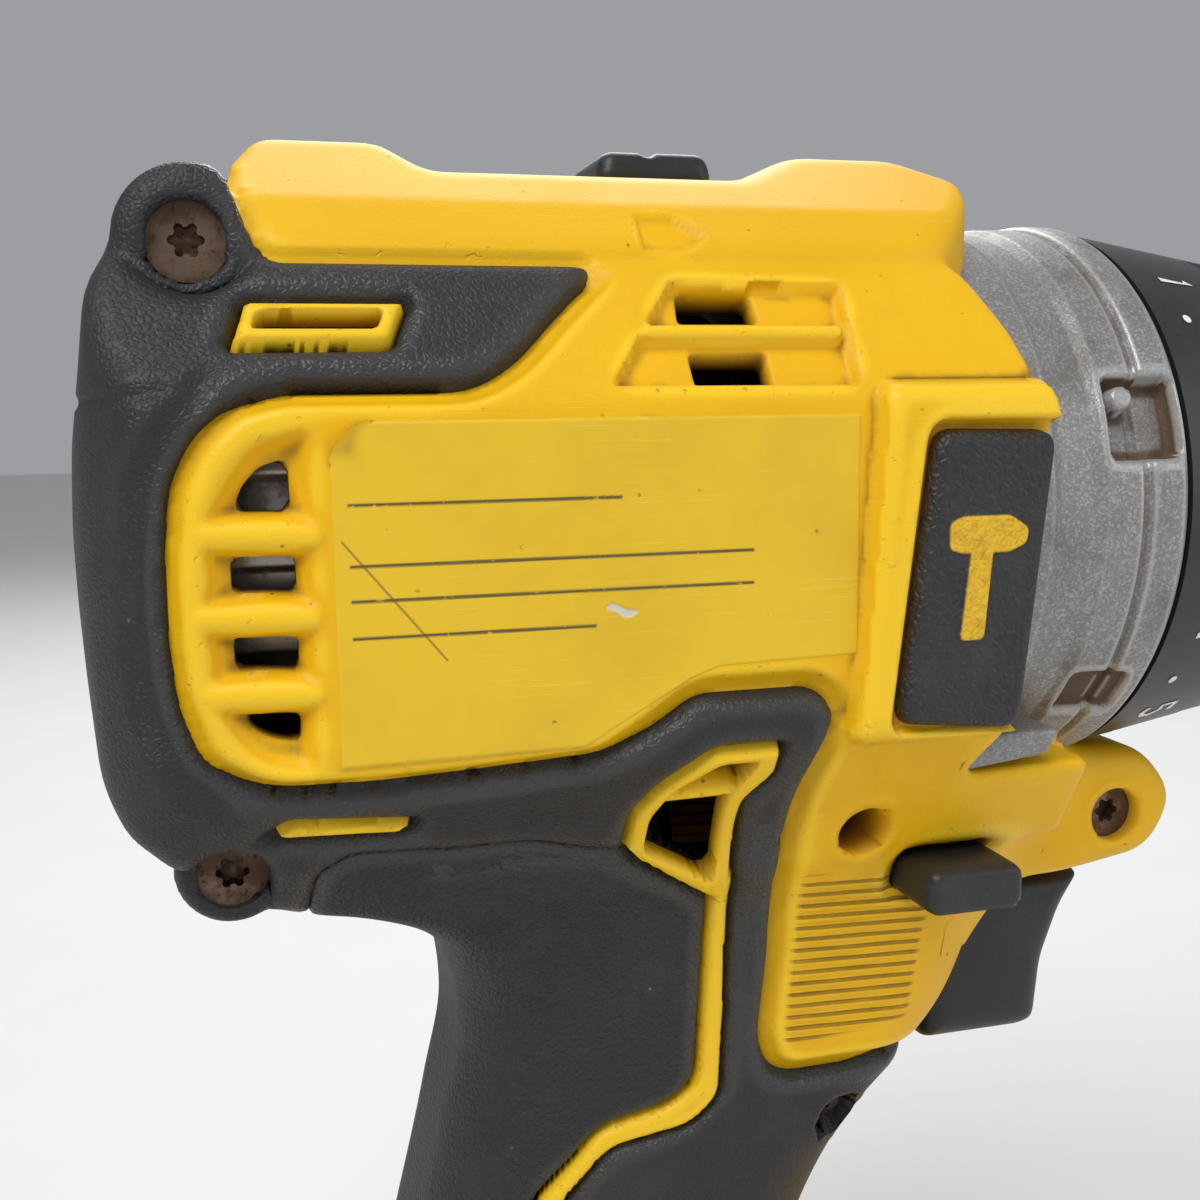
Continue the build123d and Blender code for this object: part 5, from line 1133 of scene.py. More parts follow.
    def sole(self) -> Skin:
        """Trace rays in planes across the foot, with a fan at each end.

        Returns:
            The foot's skin.
        """
        step = 1.5 * self.spacing * FINE
        height, first, last = self.foot_line
        around, fan = (int(run / step) for run in self.foot_runs)
        turn = self.turns(round_x, (25.0, 0.0, height), self.form.handle, around)
        stations = np.arange(first, last, -step)
        points = self.planes(round_x(turn), stations, height, fan, self.form.handle, True)
        keep = points[..., 2] < self.sole_top
        return Skin(points, normals_of(points, self.form.handle), keep, True)

    def prow(self) -> Skin:
        """Trace rays in planes across the boss, then a fan round its tip; it is flat over the trigger.

        Returns:
            The boss's skin.
        """
        step = self.spacing * FINE
        height, first, last = self.boss_line
        around, fan = (int(run / step) for run in self.boss_runs)
        ring = round_x(np.linspace(0.0, np.pi, around))
        points = self.planes(ring, np.arange(first, last, step), height, fan, self.form.whole)
        x, y, z = axes_of(points)
        half, rear, roof = self.trigger_roof
        z[:] = np.where((np.abs(y) < half) & (x > rear), np.maximum(z, roof), z)
        keep = (self.form.shell(x, y, z) > 0.03) & (z > -50.0)
        return Skin(points, normals_of(points, self.form.whole), keep, True).turned_over()


@dataclass
class Relief:
    """Heights of the housing's details above its base form, from outlines in the side view."""

    black: Outline = drawn(
        (-75, 45), (-49.6, 45), (-49.3, 33), (-46.4, 24.9), (-18.2, 24.9), (-16.8, 24.2), (-20.9, 20.6),
        (-25.2, 16.5), (-28.2, 14.6), (-30.9, 13.7), (-45.7, 13.7), (-50, 12.5), (-53.3, 9.3), (-55.4, 5.3),
        (-56.2, -0.4), (-56.3, -7), (-55.7, -12.9), (-53.6, -18.2), (-50, -21), (-47.3, -21.9),
        (-39, -22.1), (-30.3, -21.7), (-19, -20.9), (-14.5, -18.2), (-9.7, -15), (1.8, -15), (4.2, -17.2),
        (3.2, -21.9), (2.4, -26.1), (2.2, -31.2), (3, -46.5), (2.4, -57.3), (3.7, -61.1), (6.1, -62.4),
        (14.6, -62.3), (26, -63), (60, -64), (60, -111), (-75, -111), radius=1.6)
    stripe: Outline = drawn(
        (-4.7, -36), (-4.5, -51.4), (-4.8, -61), (-7.9, -63.5), (-15.7, -65.1), (-22.8, -72.6),
        (-25.5, -80.8), (-27.5, -111), (-27.5, -125), (60, -125), (60, -84), (-11, -84), (-17.5, -80),
        (-20.2, -73.5), (-14.6, -67.5), (-5.5, -66.2), (-2.1, -63.2), (-1.9, -51.8), (-2.6, -36),
        radius=1.8)
    vent_frame: Outline = drawn(
        (-8, -20.5), (-1.1, -20.4), (-1, -23.4), (-3.5, -26.5), (-3.6, -29.2), (-2.6, -39.3), (-4.7, -39),
        (-14.8, -32.2), (-14.6, -27.1), (-12.4, -24), radius=0.9)
    vent_hollow: Outline = drawn(
        (-7.2, -21.6), (-3.1, -21.6), (-5.4, -26.3), (-5, -36.4), (-13.2, -31.8), (-13.1, -27.5),
        (-11.5, -24.5), radius=0.8)
    vent_bar: Pair = (-25.2, 0.95)
    slot_frame: Outline = drawn((-48.6, 20.9), (-34.6, 20.9), (-36.4, 17), (-50, 16.9), radius=0.6)
    slot: Outline = drawn((-47.4, 19.9), (-36.7, 19.9), (-37.5, 18.1), (-48.2, 18.1), radius=0.5)
    sliver: Outline = drawn((-48.9, -26.2), (-46.8, -24.7), (-35.5, -25.6), (-37, -26.7), radius=0.5)
    grip: Outline = drawn(
        (-41.5, -28.4), (-33.2, -28.8), (-24.6, -29.1), (-19.5, -30.5), (-14.3, -31.6), (-3.8, -37.4),
        (-3.2, -51.4), (-3.4, -62.4), (-7, -65), (-14.8, -66.6), (-21.4, -73.2), (-24, -80.8),
        (-26, -112), (-75, -112), (-75, -47), (-45.2, -44), (-45.4, -36), (-44.5, -30.5), radius=1.2)
    dish: Outline = drawn(
        (-43.5, 10.2), (-48.6, 9.1), (-51.3, 6), (-52.7, 2.5), (-53.2, -6.5), (-52.7, -12.6), (-51.3, -16.8),
        (-48.5, -19.2), (-44.1, -19.6), radius=1.6)
    dish_bars: tuple[float, ...] = (1.25, -5.7, -12.3)
    dish_openings: tuple[Outline, ...] = field(default_factory=lambda: (
        Outline(((-50.2, 3.2), (-49.6, 5.2), (-48, 7), (-45.6, 7.6), (-45.5, 3.0)), 0.8),
        Outline(((-50.7, -0.5), (-45.3, -0.7), (-45.3, -3.8), (-50.7, -3.6)), 0.6),
        Outline(((-50.8, -7.3), (-45.3, -7.6), (-45.4, -10.5), (-50.7, -10.2)), 0.6),
        Outline(((-50.3, -13.9), (-45.4, -14.2), (-45.5, -16.9), (-48, -16.4), (-49.6, -15.4)), 0.8)))
    frame: Outline = drawn((7.9, 13.7), (34, 13.7), (34, -21.2), (5.2, -20.8), radius=1.6)
    pad_bed: Outline = drawn((12, 10.2), (40, 9.9), (40, -21.0), (8.4, -20), radius=2.6)
    upper_vent: Outline = drawn((-10, 23.2), (7.2, 22.9), (6.6, 13.2), (-17.6, 13.3), radius=0.7)
    upper_bar: Outline = drawn((-13.5, 19.2), (6.4, 19.2), (6.4, 17.5), (-14.6, 17.5), radius=0.8)
    upper_openings: tuple[Outline, ...] = field(default_factory=lambda: (
        Outline(((-9.4, 22.6), (-1.9, 22.6), (-1.5, 19.7), (-9.7, 19.7)), 0.5),
        Outline(((-9.4, 17), (-1.6, 17), (-1.6, 13.9), (-9.3, 13.9)), 0.5)))
    arrow: Outline = drawn((-12, 29.6), (-8, 29.6), (-4.8, 27.6), (-8, 25.8), (-12, 25.8), radius=0.4)
    ridges: Outline = drawn((5.2, -37), (15, -38.2), (21.2, -42.6), (20.4, -57.2), (5, -59), radius=1.0)
    button: Outline = drawn((16.3, -35.8), (27.7, -35.8), (27.7, -41.4), (16.3, -41.4), radius=2.0)
    screws: tuple[Quad, ...] = (
        (-53, 26.2, 21.5, 3.35), (-52, -31, 20.5, 3.35), (11, -32.3, 15, 2.9), (50.5, -38.1, 8.5, 3.3),
        (12.5, -68.5, 10.5, 2.8))
    rubber_proud: float = 0.45
    rubber_fall: float = 2.0
    rubber_round: float = 1.7
    ledge_depth: float = 1.25
    under_rubber: float = 0.45
    island_floor: float = -1.7
    island_rise: float = 2.2
    island_reach: float = 2.5
    dish_depth: float = 1.75
    dish_bar_rise: float = 2.0
    dish_bar_half: float = 1.75
    upper_depth: float = 1.4
    upper_bar_rise: float = 1.6
    arrow_depth: float = 0.8
    ridge_height: float = 0.34
    ridge_pitch: float = 1.36
    button_dip: float = 1.0
    wall_depth: float = 2.6
    vent_bar_rise: float = 2.4
    frame_rise: float = 2.05
    bed_share: float = 0.95
    rim_height: float = 0.22

    def island(self, x: Array, z: Array) -> Array:
        """Distance to the nearest of the yellow islands in the rubber."""
        shapes = (self.stripe, self.vent_frame, self.slot_frame, self.sliver)
        return np.min([shape(x, z) for shape in shapes], axis=0)

    def black_distance(self, x: Array, z: Array) -> Array:
        """Distance to the edge of the rubber, whose yellow islands are cut out."""
        return np.maximum(self.black(x, z), -self.island(x, z))

    def cuts(self) -> tuple[Outline, ...]:
        """Outlines of the openings that nothing crosses."""
        return (self.slot, self.button) + self.dish_openings + self.upper_openings

    def openings(self) -> tuple[Flat, ...]:
        """Every outline whose inside is cut out with upright walls."""
        return (self.vent_hollow, *self.cuts(), *(self.bore(*screw) for screw in self.screws))

    def edges(self) -> tuple[Flat, ...]:
        """Every outline where the height steps."""
        return (self.black, self.stripe, self.vent_frame, self.slot_frame, self.sliver, self.frame,
                self.pad_bed, self.upper_vent, self.upper_bar, self.arrow)

    @staticmethod
    def bore(middle_x: float, middle_z: float, _seat: float, radius: float) -> Flat:
        """Distance to the round mouth of a screw hole."""
        return lambda x, z: np.hypot(x - middle_x, z - middle_z) - radius

    def yellow_height(self, x: Array, z: Array) -> tuple[Array, Array, Array]:
        """Sum the shell's details; openings have upright walls one cell wide and no floor.

        Args:
            x: Along the tool.
            z: Height from the axis.

        Returns:
            Heights along the normal, further heights straight out along y, and where the skin is kept.
        """
        edge, island = self.black(x, z), self.island(x, z)
        ledge = fade(edge, 0.7, 2.2) * fade(z, 23.0, 24.6) * smooth(z, -110.5, -109.0)
        height = -self.ledge_depth * ledge - self.under_rubber * fade(edge, -0.6, 0.2)
        raised = self.island_floor + self.island_rise * quarter_round(-island, 0.8)
        raised = raised + 2.5 * np.clip(-island, -0.8, 0.0)
        raised = np.where(island < 0.0, raised * smooth(z, -111.5, -101.0), raised)
        height = np.where(edge < 0.5, np.maximum(height - 0.3, raised), height)
        keep = (np.minimum(edge, island) < self.island_reach) | (edge > 0.0)
        keep &= np.minimum(-edge, island) < self.island_reach
        bowl = self.dish(x, z)
        dish = fade(bowl, -1.9, 0.5)
        floor = -self.dish_depth * dish
        for middle in self.dish_bars:
            away = np.abs(z - middle + 0.03 * (x + 48))
            lift = quarter_round(self.dish_bar_half - away, self.dish_bar_half)
            floor = np.maximum(floor, self.dish_bar_rise * lift * (bowl < 0.6) - self.dish_depth)
        height = np.where(dish > 0.0, np.minimum(height, 0.0) + floor, height)
        lift = quarter_round(-self.upper_bar(x, z), 0.85)
        upper = self.upper_depth - self.upper_bar_rise * lift
        height = height - fade(self.upper_vent(x, z), -0.45, 0.0) * upper
        height = height - self.arrow_depth * fade(self.arrow(x, z), -0.45, 0.0)
        wave = np.abs(np.sin((z + 0.04 * x) * np.pi / self.ridge_pitch)) - 0.4
        height = height + self.ridge_height * fade(self.ridges(x, z), -1.2, 0.0) * wave
        height = height - self.button_dip * fade(self.button(x, z), 0.0, 1.6)
        bar = quarter_round(self.vent_bar[1] - np.abs(z - self.vent_bar[0] - 0.02 * x), 0.9)
        hollow = self.vent_hollow(x, z) < WITHIN
        height = np.where(hollow, height - self.wall_depth + self.vent_bar_rise * bar, height)
        keep &= ~hollow | (bar > 0.05)
        for opening in self.cuts():
            gap = opening(x, z) < WITHIN
            height = np.where(gap, height - self.wall_depth, height)
            keep &= ~gap
        rim = quarter_round(-self.frame(x, z), 1.5)
        bed = fade(self.pad_bed(x, z), -0.45, 0.0)
        return height, self.frame_rise * rim * (1.0 - self.bed_share * bed), keep

    def black_height(self, x: Array, y: Array, z: Array, is_grip: bool) -> tuple[Array, Array]:
        """Rubber stands proud with a rounded edge, a hollow beside the panel and a seam.

        Args:
            x, y, z: Places along, across and up from the axis.
            is_grip: Whether it is the grip, or else the bumper.

        Returns:
            Heights along the normal, and where the skin is kept.
        """
        inward = -self.black_distance(x, z)
        fall = self.rubber_fall * (1.0 - quarter_round(inward, self.rubber_round))
        height = self.rubber_proud - fall + 2.5 * np.clip(inward, -0.8, 0.0)
        share = self.grip(x, z) * (-1.0 if is_grip else 1.0)
        height = height - 0.45 * (1.0 - quarter_round(share, 1.3)) + 2.0 * np.clip(share, -0.8, 0.0)
        flank = smooth(np.abs(y), 24.0, 29.0)
        hollow = fade(np.abs(self.black(x, z) + 1.9), 0.2, 2.0)
        height = height - 0.9 * hollow * flank * smooth(-x, 50.0, 53.0) * smooth(z, -26.0, -19.0) * (z < 16)
        fold = fade(np.abs(z - 12.8 - 0.1 * (x + 58)), 0.0, 0.8)
        height = height - 0.4 * fold * (x < -54.5) * smooth(np.abs(y), 12.0, 18.0)
        return height, (inward > -0.9) & (share > -0.8)

    def bores(self, points: Array, keep: Array) -> tuple[Array, Array, Array]:
        """Sink the screw holes straight in along y, with a low rim round each mouth.

        Args:
            points: Displaced points of the right half.
            keep: Where the skin is kept.

        Returns:
            The changed points, where they are kept, and where the feet of the walls are.
        """
        points = points.copy()
        feet = np.zeros(keep.shape, bool)
        x, z = points[..., 0], points[..., 2]
        for screw_x, screw_z, seat, radius in self.screws:
            away = np.hypot(x - screw_x, z - screw_z) - radius
            near = (points[..., 1] < -seat - 0.8) & (away < 3.0)
            points[..., 1] -= np.where(near, self.rim_height * fade(np.abs(away - 0.9), 0.0, 0.8), 0.0)
            inner = near & (away < WITHIN)
            points[..., 1] = np.where(inner, -seat, points[..., 1])
            keep = keep & ~inner
            feet |= inner
        return points, keep, feet


def snapped(skin: Skin, openings: Sequence[Flat], edges: Sequence[Flat], view: View = View.SIDE) -> Skin:
    """Slide points that lie near an outline onto it, so that edges and walls run through vertices.

    A point within half a cell of an outline moves by minus its distance along the distance's slope
    in the flat view, and its depth follows the tangent plane. Points up to two cells inside an opening
    move to just inside its outline, where they become the foot of the wall.

    Args:
        skin: A traced grid.
        openings: Distances to the outlines of openings.
        edges: Distances to the outlines of steps.
        view: The view that the outlines are drawn in.

    Returns:
        The grid with its points moved.
    """
    points = skin.points.copy()
    reach = 0.5 * skin.sizes(view)
    across, up = view.value
    depth = 3 - across - up
    probe = 0.05
    facing = skin.normals[..., depth] * (-1.0 if view is View.SIDE else 1.0) > 0.3
    for number, outline in enumerate((*edges, *openings)):
        deepest = 4.2 * reach if number >= len(edges) else reach
        away = np.full(facing.shape, FAR)
        away[facing] = outline(points[..., across][facing], points[..., up][facing])
        near = (away < reach) & (away > -deepest)
        a, b, normal = points[..., across][near], points[..., up][near], skin.normals[near]
        shift = np.where(away[near] < -reach[near], 2 * WITHIN, 0.0) - away[near]
        step = np.zeros(normal.shape)
        step[:, across] = shift * (outline(a + probe, b) - outline(a - probe, b)) / (2 * probe)
        step[:, up] = shift * (outline(a, b + probe) - outline(a, b - probe)) / (2 * probe)
        step[:, depth] = -(normal * step).sum(-1) / normal[:, depth]
        points[near] += step
    return Skin(points, skin.normals, skin.keep, skin.pole)


def marked(skin: Skin, skin_points: Array, height: Array, keep: Array, reach: int = 3) -> Patch:
    """Make a patch whose crevice and wear marks compare heights with their surroundings.

    Args:
        skin: The traced grid.
        skin_points: Displaced points.
        height: Heights above the base form.
        keep: Where the skin is kept.
        reach: Cells on each side of the compared window.

    Returns:
        The patch.
    """
    level = blurred(np.clip(height, -2.2, 2.5), 1)
    lower = blurred(blurred(level, reach), reach) - level
    marks = {"crevice": np.clip(lower / 1.1, 0.0, 1.0), "wear": np.clip(-lower / 0.6, 0.0, 1.0),
             "pit": smooth(-height, 1.5, 2.6)}
    return Patch(skin_points, keep, marks, skin.pole, False, skin.sound())


@dataclass
class Housing:
    """The yellow shell halves and the rubber moulded over them."""

    form: HousingForm = field(default_factory=HousingForm)
    relief: Relief = field(default_factory=Relief)
    trigger_half: float = 10.65
    trigger_span: Pair = (-67.9, -45.1)
    trigger_rear: float = 12.0
    pocket_depth: float = 2.5
    lens_half: float = 5.3
    lens_span: Pair = (-126.8, -120.2)
    lens_depth: float = 1.3
    foot_front: float = 40.0
    slot_rear: float = -50.0
    slot_front: float = 49.0
    slot_depth: float = 3.0
    slot_half: float = 20.3
    slot_roof: float = -125.8
    rail_half: float = 24.3
    rail_top: float = -132.1
    core_section: tuple[Triple, ...] = (
        (-42.0, 29.0, 1.0), (-57.0, 29.0, 1.0), (-57.0, 26.8, 0.0), (-42.0, 26.8, 0.0), (-42.0, 29.0, 1.0))
    core_teeth: int = 24
    tooth_height: float = 1.4
    mouth: Outline = field(init=False)

    def __post_init__(self) -> None:
        """Draw the battery slot's section, seen from the front."""
        half = ((self.rail_half, self.slot_roof), (self.rail_half, self.rail_top),
                (self.slot_half, self.rail_top), (self.slot_half, self.form.foot_low - 6.0))
        self.mouth = Outline(half + tuple((-y, z) for y, z in half[::-1]), 0.2)

    def build(self, finishes: Finishes) -> None:
        """Trace the skins once, then write both halves of each layer.

        Args:
            finishes: Materials by name.
        """
        maker = SkinMaker(self.form)
        outlines = self.relief.openings(), self.relief.edges()
        sole = snapped(maker.sole(), (self.mouth,), (), View.FRONT)
        skins = [snapped(skin, *outlines) for skin in (maker.pages(), maker.rings(), sole, maker.prow())]
        yellow = [self.yellow(skin) for skin in skins]
        bumper, grip = ([self.rubber(skin, is_grip) for skin in skins[:3]] for is_grip in (False, True))
        layers = (("shell", "housing", "shell_yellow", yellow),
                  ("bumper_skin", "bumper", "rubber_black", bumper),
                  ("grip_skin", "grip", "grip_rubber", grip))
        self.core(finishes)
        for name, node, finish, patches in layers:
            for side in Side:
                half = [self.half(patch, side) for patch in patches]
                half += [self.channel(side)] if node == "housing" else []
                piece = surface(f"{name}_{side.name.lower()}", half)
                slot = "shell_yellow" if node == "housing" else "rubber_black"
                dress(piece, finishes[finish], "tool_body", slot, f"{node}_{side.name.lower()}")

    def core(self, finishes: Finishes) -> None:
        """Turn a section about the axis behind the vents, its outer corners raised by square teeth.

        Args:
            finishes: Materials by name.
        """
        turn = np.linspace(0.0, 2 * np.pi, int(720 / FINE), endpoint=False)[None]
        teeth = self.tooth_height * smooth(np.cos(self.core_teeth * turn), -0.25, 0.25)
        x, radius, toothed = np.array(self.core_section).T[..., None]
        radius = radius + toothed * teeth
        points = np.stack([x + 0 * turn, radius * np.sin(turn), radius * np.cos(turn)], -1)
        piece = surface("vent_core", [Patch(points, None, {}, False, True)])
        dress(piece, finishes["lamination"], "tool_body", "lamination")

    def channel(self, side: Side) -> Patch:
        """Carry half the battery slot's section along x, its faces towards the slot.

        Args:
            side: Which half to make.

        Returns:
            The walls, rails and roof of the slot.
        """
        low, rail = self.form.foot_low, self.rail_top
        section = np.array([(-self.slot_half, low), (-self.slot_half, rail), (-self.rail_half, rail),
                            (-self.rail_half, self.slot_roof), (0.0, self.slot_roof)])
        section = np.repeat(section, [1, 2, 2, 2, 1], 0)
        x = np.linspace(self.slot_rear, self.slot_front, 40)[:, None]
        y, z = section.T[:, None]
        points = np.stack(np.broadcast_arrays(x, y, z), -1)
        patch = Patch(points, None, {"crevice": np.full(points.shape[:2], 0.2)})
        return patch if side is Side.RIGHT else patch.mirrored()

    def half(self, patch: Patch, side: Side) -> Patch:
        """Sink the screw holes of the right half, or mirror for the left one.

        Args:
            patch: The right half without screw holes.
            side: Which half to make.

        Returns:
            The finished patch.
        """
        if side is Side.LEFT:
            return patch.mirrored()
        points, keep, feet = self.relief.bores(patch.points, patch.keep)
        marks = {**patch.marks, "pit": np.where(feet, 1.0, patch.marks["pit"])}
        return Patch(points, keep, marks, patch.pole, patch.ring, patch.cells)

    def yellow(self, skin: Skin) -> Patch:
        """Raise and sink the shell's details along the normals.

        Args:
            skin: A traced grid.

        Returns:
            The right half, without screw holes.
        """
        x, y, z = axes_of(skin.points)
        height, outward, keep = self.relief.yellow_height(x, z)
        facing = smooth(-skin.normals[..., 1], 0.12, 0.4)
        edge = self.relief.black(x, z)
        height = np.where(edge < 3.0, height, height * facing)
        keep = (keep | (edge >= 3.0) & (facing < 0.5)) & skin.keep
        for ear_x, ear_z, _, radius in self.relief.screws[:2]:
            keep &= (np.hypot(x - ear_x, z - ear_z) > radius + 0.8) | (edge > 0.0)
        pocket = self.pocket(x, y, z)
        height = height - self.pocket_depth * fade(pocket, -0.6, 0.6)
        keep &= pocket > -0.5
        upright = np.maximum(self.lens_span[0] - z, z - self.lens_span[1])
        lens = np.where(x > self.foot_front, np.maximum(upright, np.abs(y) - self.lens_half), FAR)
        height = height - self.lens_depth * fade(lens, -0.5, 0.4)
        inside = (self.mouth(y, z) < WITHIN) & (x > self.slot_rear)
        height = np.where(inside & (x > self.foot_front + 4.0), height - self.slot_depth, height)
        keep &= ~inside
        points = skin.points + skin.normals * height[..., None]
        points[..., 1] -= outward * smooth(-skin.normals[..., 1], 0.3, 0.6)
        points[:, [0, -1], 1] = 0.0
        patch = marked(skin, points, height + outward, keep)
        # Area of the side-facing grip ridges, where the shell's material paints shade on each ridge's lower
        # flank.
        patch.marks["ridge"] = fade(self.relief.ridges(x, z), -0.7, 0.0) * facing
        return patch

    def rubber(self, skin: Skin, is_grip: bool) -> Patch:
        """Raise the rubber's skin and keep the grip's or the bumper's share of it.

        Args:
            skin: A traced grid.
            is_grip: Whether the grip is wanted.

        Returns:
            The right half, without screw holes.
        """
        x, y, z = axes_of(skin.points)
        height, keep = self.relief.black_height(x, y, z, is_grip)
        pocket = self.pocket(x, y, z)
        height = height - self.pocket_depth * fade(pocket, -0.6, 0.6)
        points = skin.points + skin.normals * height[..., None]
        points[:, [0, -1], 1] = 0.0
        return marked(skin, points, height, keep & skin.keep & (pocket > -0.5))

    def pocket(self, x: Array, y: Array, z: Array) -> Array:
        """Distance to the trigger's rectangular opening in the handle's front, negative inside."""
        upright = np.maximum(self.trigger_span[0] - z, z - self.trigger_span[1])
        return np.where(x > self.trigger_rear, np.maximum(upright, np.abs(y) - self.trigger_half), FAR)


def dress(piece: bpy.types.Object, finish: Material, body: str, slot: str, *nodes: str) -> None:
    """Give a new piece its finish and body, and hide the nodes that it stands for.

    Args:
        piece: The piece.
        finish: Its material.
        body: Body that it rides on.
        slot: Material slot of the record; not used.
        nodes: Nodes that it replaces.
    """
    piece.data.materials.append(finish)
    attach(piece, body)
    if nodes:
        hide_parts(*nodes)


@dataclass
class ModePads:
    """The rubber pads on both flanks with a moulded hammer picture."""

    outline: Outline = drawn((13, 9.1), (26.0, 8.8), (22.8, -20.2), (9.5, -18.9), radius=2.2)
    base: float = 34.4
    top: float = 36.2
    middle: Pair = (17.6, -5.0)
    rim_share: float = 0.22
    picture_height: float = 0.25
    head: Outline = drawn(
        (14.3, 0.3), (15.6, 0.9), (20.6, 0.9), (22.6, -0.4), (22.4, -1.8), (20.6, -2.6), (15.6, -2.6),
        (14.3, -2.2), radius=0.5)
    shaft: Outline = drawn((16.6, -2.0), (18.9, -2.0), (18.1, -10.9), (15.6, -10.9), radius=0.6)

    def build(self, finishes: Finishes) -> None:
        """Scale the outline towards the middle; the height falls in a quarter round at the edge.

        Args:
            finishes: Materials by name.
        """
        edge = self.outline.points
        closed = np.concatenate([edge, edge[:1]])
        place = equal_runs(closed, np.arange(len(closed), dtype=float), int(261 / FINE))[:-1]
        loop = np.stack([np.interp(place, np.arange(len(closed)), closed[:, k]) for k in (0, 1)], -1)
        rim = np.linspace(0.0, self.rim_share, int(18 / FINE))
        share = 1.0 - np.concatenate([rim, np.linspace(self.rim_share, 1.0, int(66 / FINE))[1:]])
        x, z = axes_of(np.array(self.middle) + (loop[None] - self.middle) * share[:, None, None])
        inward = -self.outline.exact(x, z)
        inward[0] = 0.0
        picture = -np.minimum(self.head.exact(x, z), self.shaft.exact(x, z))
        level = self.base + (self.top - self.base - self.picture_height) * quarter_round(inward, 1.3)
        level = level + self.picture_height * smooth(picture, -0.25, 0.15)
        marks = {"picture": picture, "crevice": fade(inward, 0.0, 0.8)}
        patch = Patch(np.stack([x, -level, z], -1), None, marks, True, True).turned_over()
        for side in Side:
            name = side.name.lower()
            piece = surface(f"pad_{name}", [patch if side is Side.RIGHT else patch.mirrored()])
            dress(piece, finishes["pad_rubber"], "tool_body", "rubber_black", f"mode_pad_{name}")


@dataclass
class RatingLabel:
    """Film on the right flank, lifted at one corner."""

    left: float = -42.4
    right: float = 6.2
    top: float = 10.7
    bottom: Corners = ((-42.4, -19.2), (-20.6, -19.0), (-10.6, -13.4), (-7.7, -12.4), (6.2, -12.1))
    skin: float = 34.12
    lift: float = 1.5
    curl_reach: float = 4.2
    curl_shift: float = 1.2
    rules: Corners = ((3.6, -17.1), (-1.6, -4.6), (-4.6, -4.6), (-7.8, -19.6))
    rules_left: float = -40.8
    rule_half: float = 0.15
    nick: Pair = (-17.6, -6.6)
    nick_depth: float = 0.10
    scratch: Pair = (-41.5, 0.5)
    scratch_run: Pair = (8.6, -10.6)
    scratch_half: float = 0.16

    def build(self, finishes: Finishes) -> None:
        """Stretch a grid between the bottom and top edges and curl its top left corner.

        Args:
            finishes: Materials by name.
        """
        columns, rows = int(380 / FINE), int(260 / FINE)
        x = np.linspace(self.left, self.right, columns)[None] + np.zeros((rows, 1))
        low = np.interp(x[0], *np.array(self.bottom).T)[None]
        part = np.linspace(1.0, 0.0, rows)[:, None]
        z = low + (self.top - low) * part
        corner = (x - self.left) + (self.top - z)
        curl = np.clip((self.curl_reach - corner) / self.curl_reach, 0.0, 1.0) ** 2
        wrinkle = 0.18 * np.exp(-((x + 13.5 + 0.5 * (z - 9.0)) / 0.9) ** 2) * smooth(z, 5.5, 9.5)
        sides = (x - self.left, self.right - x, self.top - z, (z - low) * 0.87)
        edge = np.min(sides, axis=0)
        level = self.skin + self.lift * curl + wrinkle + 0.02 * np.sin(x * 0.35) * np.cos(z * 0.4)
        level = level - 0.22 * fade(edge, 0.0, 0.35) * (curl < 0.01)
        torn = 0.75 - np.hypot((x - self.nick[0]) / 1.9 + 0.5 * np.sin(z * 3.0),
                               (z - self.nick[1]) / 0.75 + 0.4 * np.sin(x * 2.2))
        level = level - self.nick_depth * smooth(torn, 0.0, 0.2)
        run, rise = self.scratch_run
        right, up = x - self.scratch[0], z - self.scratch[1]
        along = np.clip((right * run + up * rise) / (run ** 2 + rise ** 2), 0.0, 1.0)
        scored = self.scratch_half - np.hypot(right - run * along, up - rise * along)
        ink = np.max([self.rule(x, z, height, end) for height, end in self.rules], axis=0)
        points = np.stack([x + self.curl_shift * curl, -level, z - self.curl_shift * curl], -1)
        marks = {"crevice": fade(edge, 0.0, 0.5), "ink": smooth(ink, -0.06, 0.06), "torn": torn,
                 "scored": scored}
        piece = surface("label_sheet", [Patch(points[::-1], None, {k: v[::-1] for k, v in marks.items()})])
        dress(piece, finishes["label_film"], "tool_body", "label_film", "rating_label")

    def rule(self, x: Array, z: Array, height: float, end: float) -> Array:
        """Distance inside a printed line at a height, from the left margin to its end."""
        reach = np.abs(x - 0.5 * (self.rules_left + end)) - 0.5 * (end - self.rules_left)
        return self.rule_half - np.maximum(np.abs(z - height), reach)


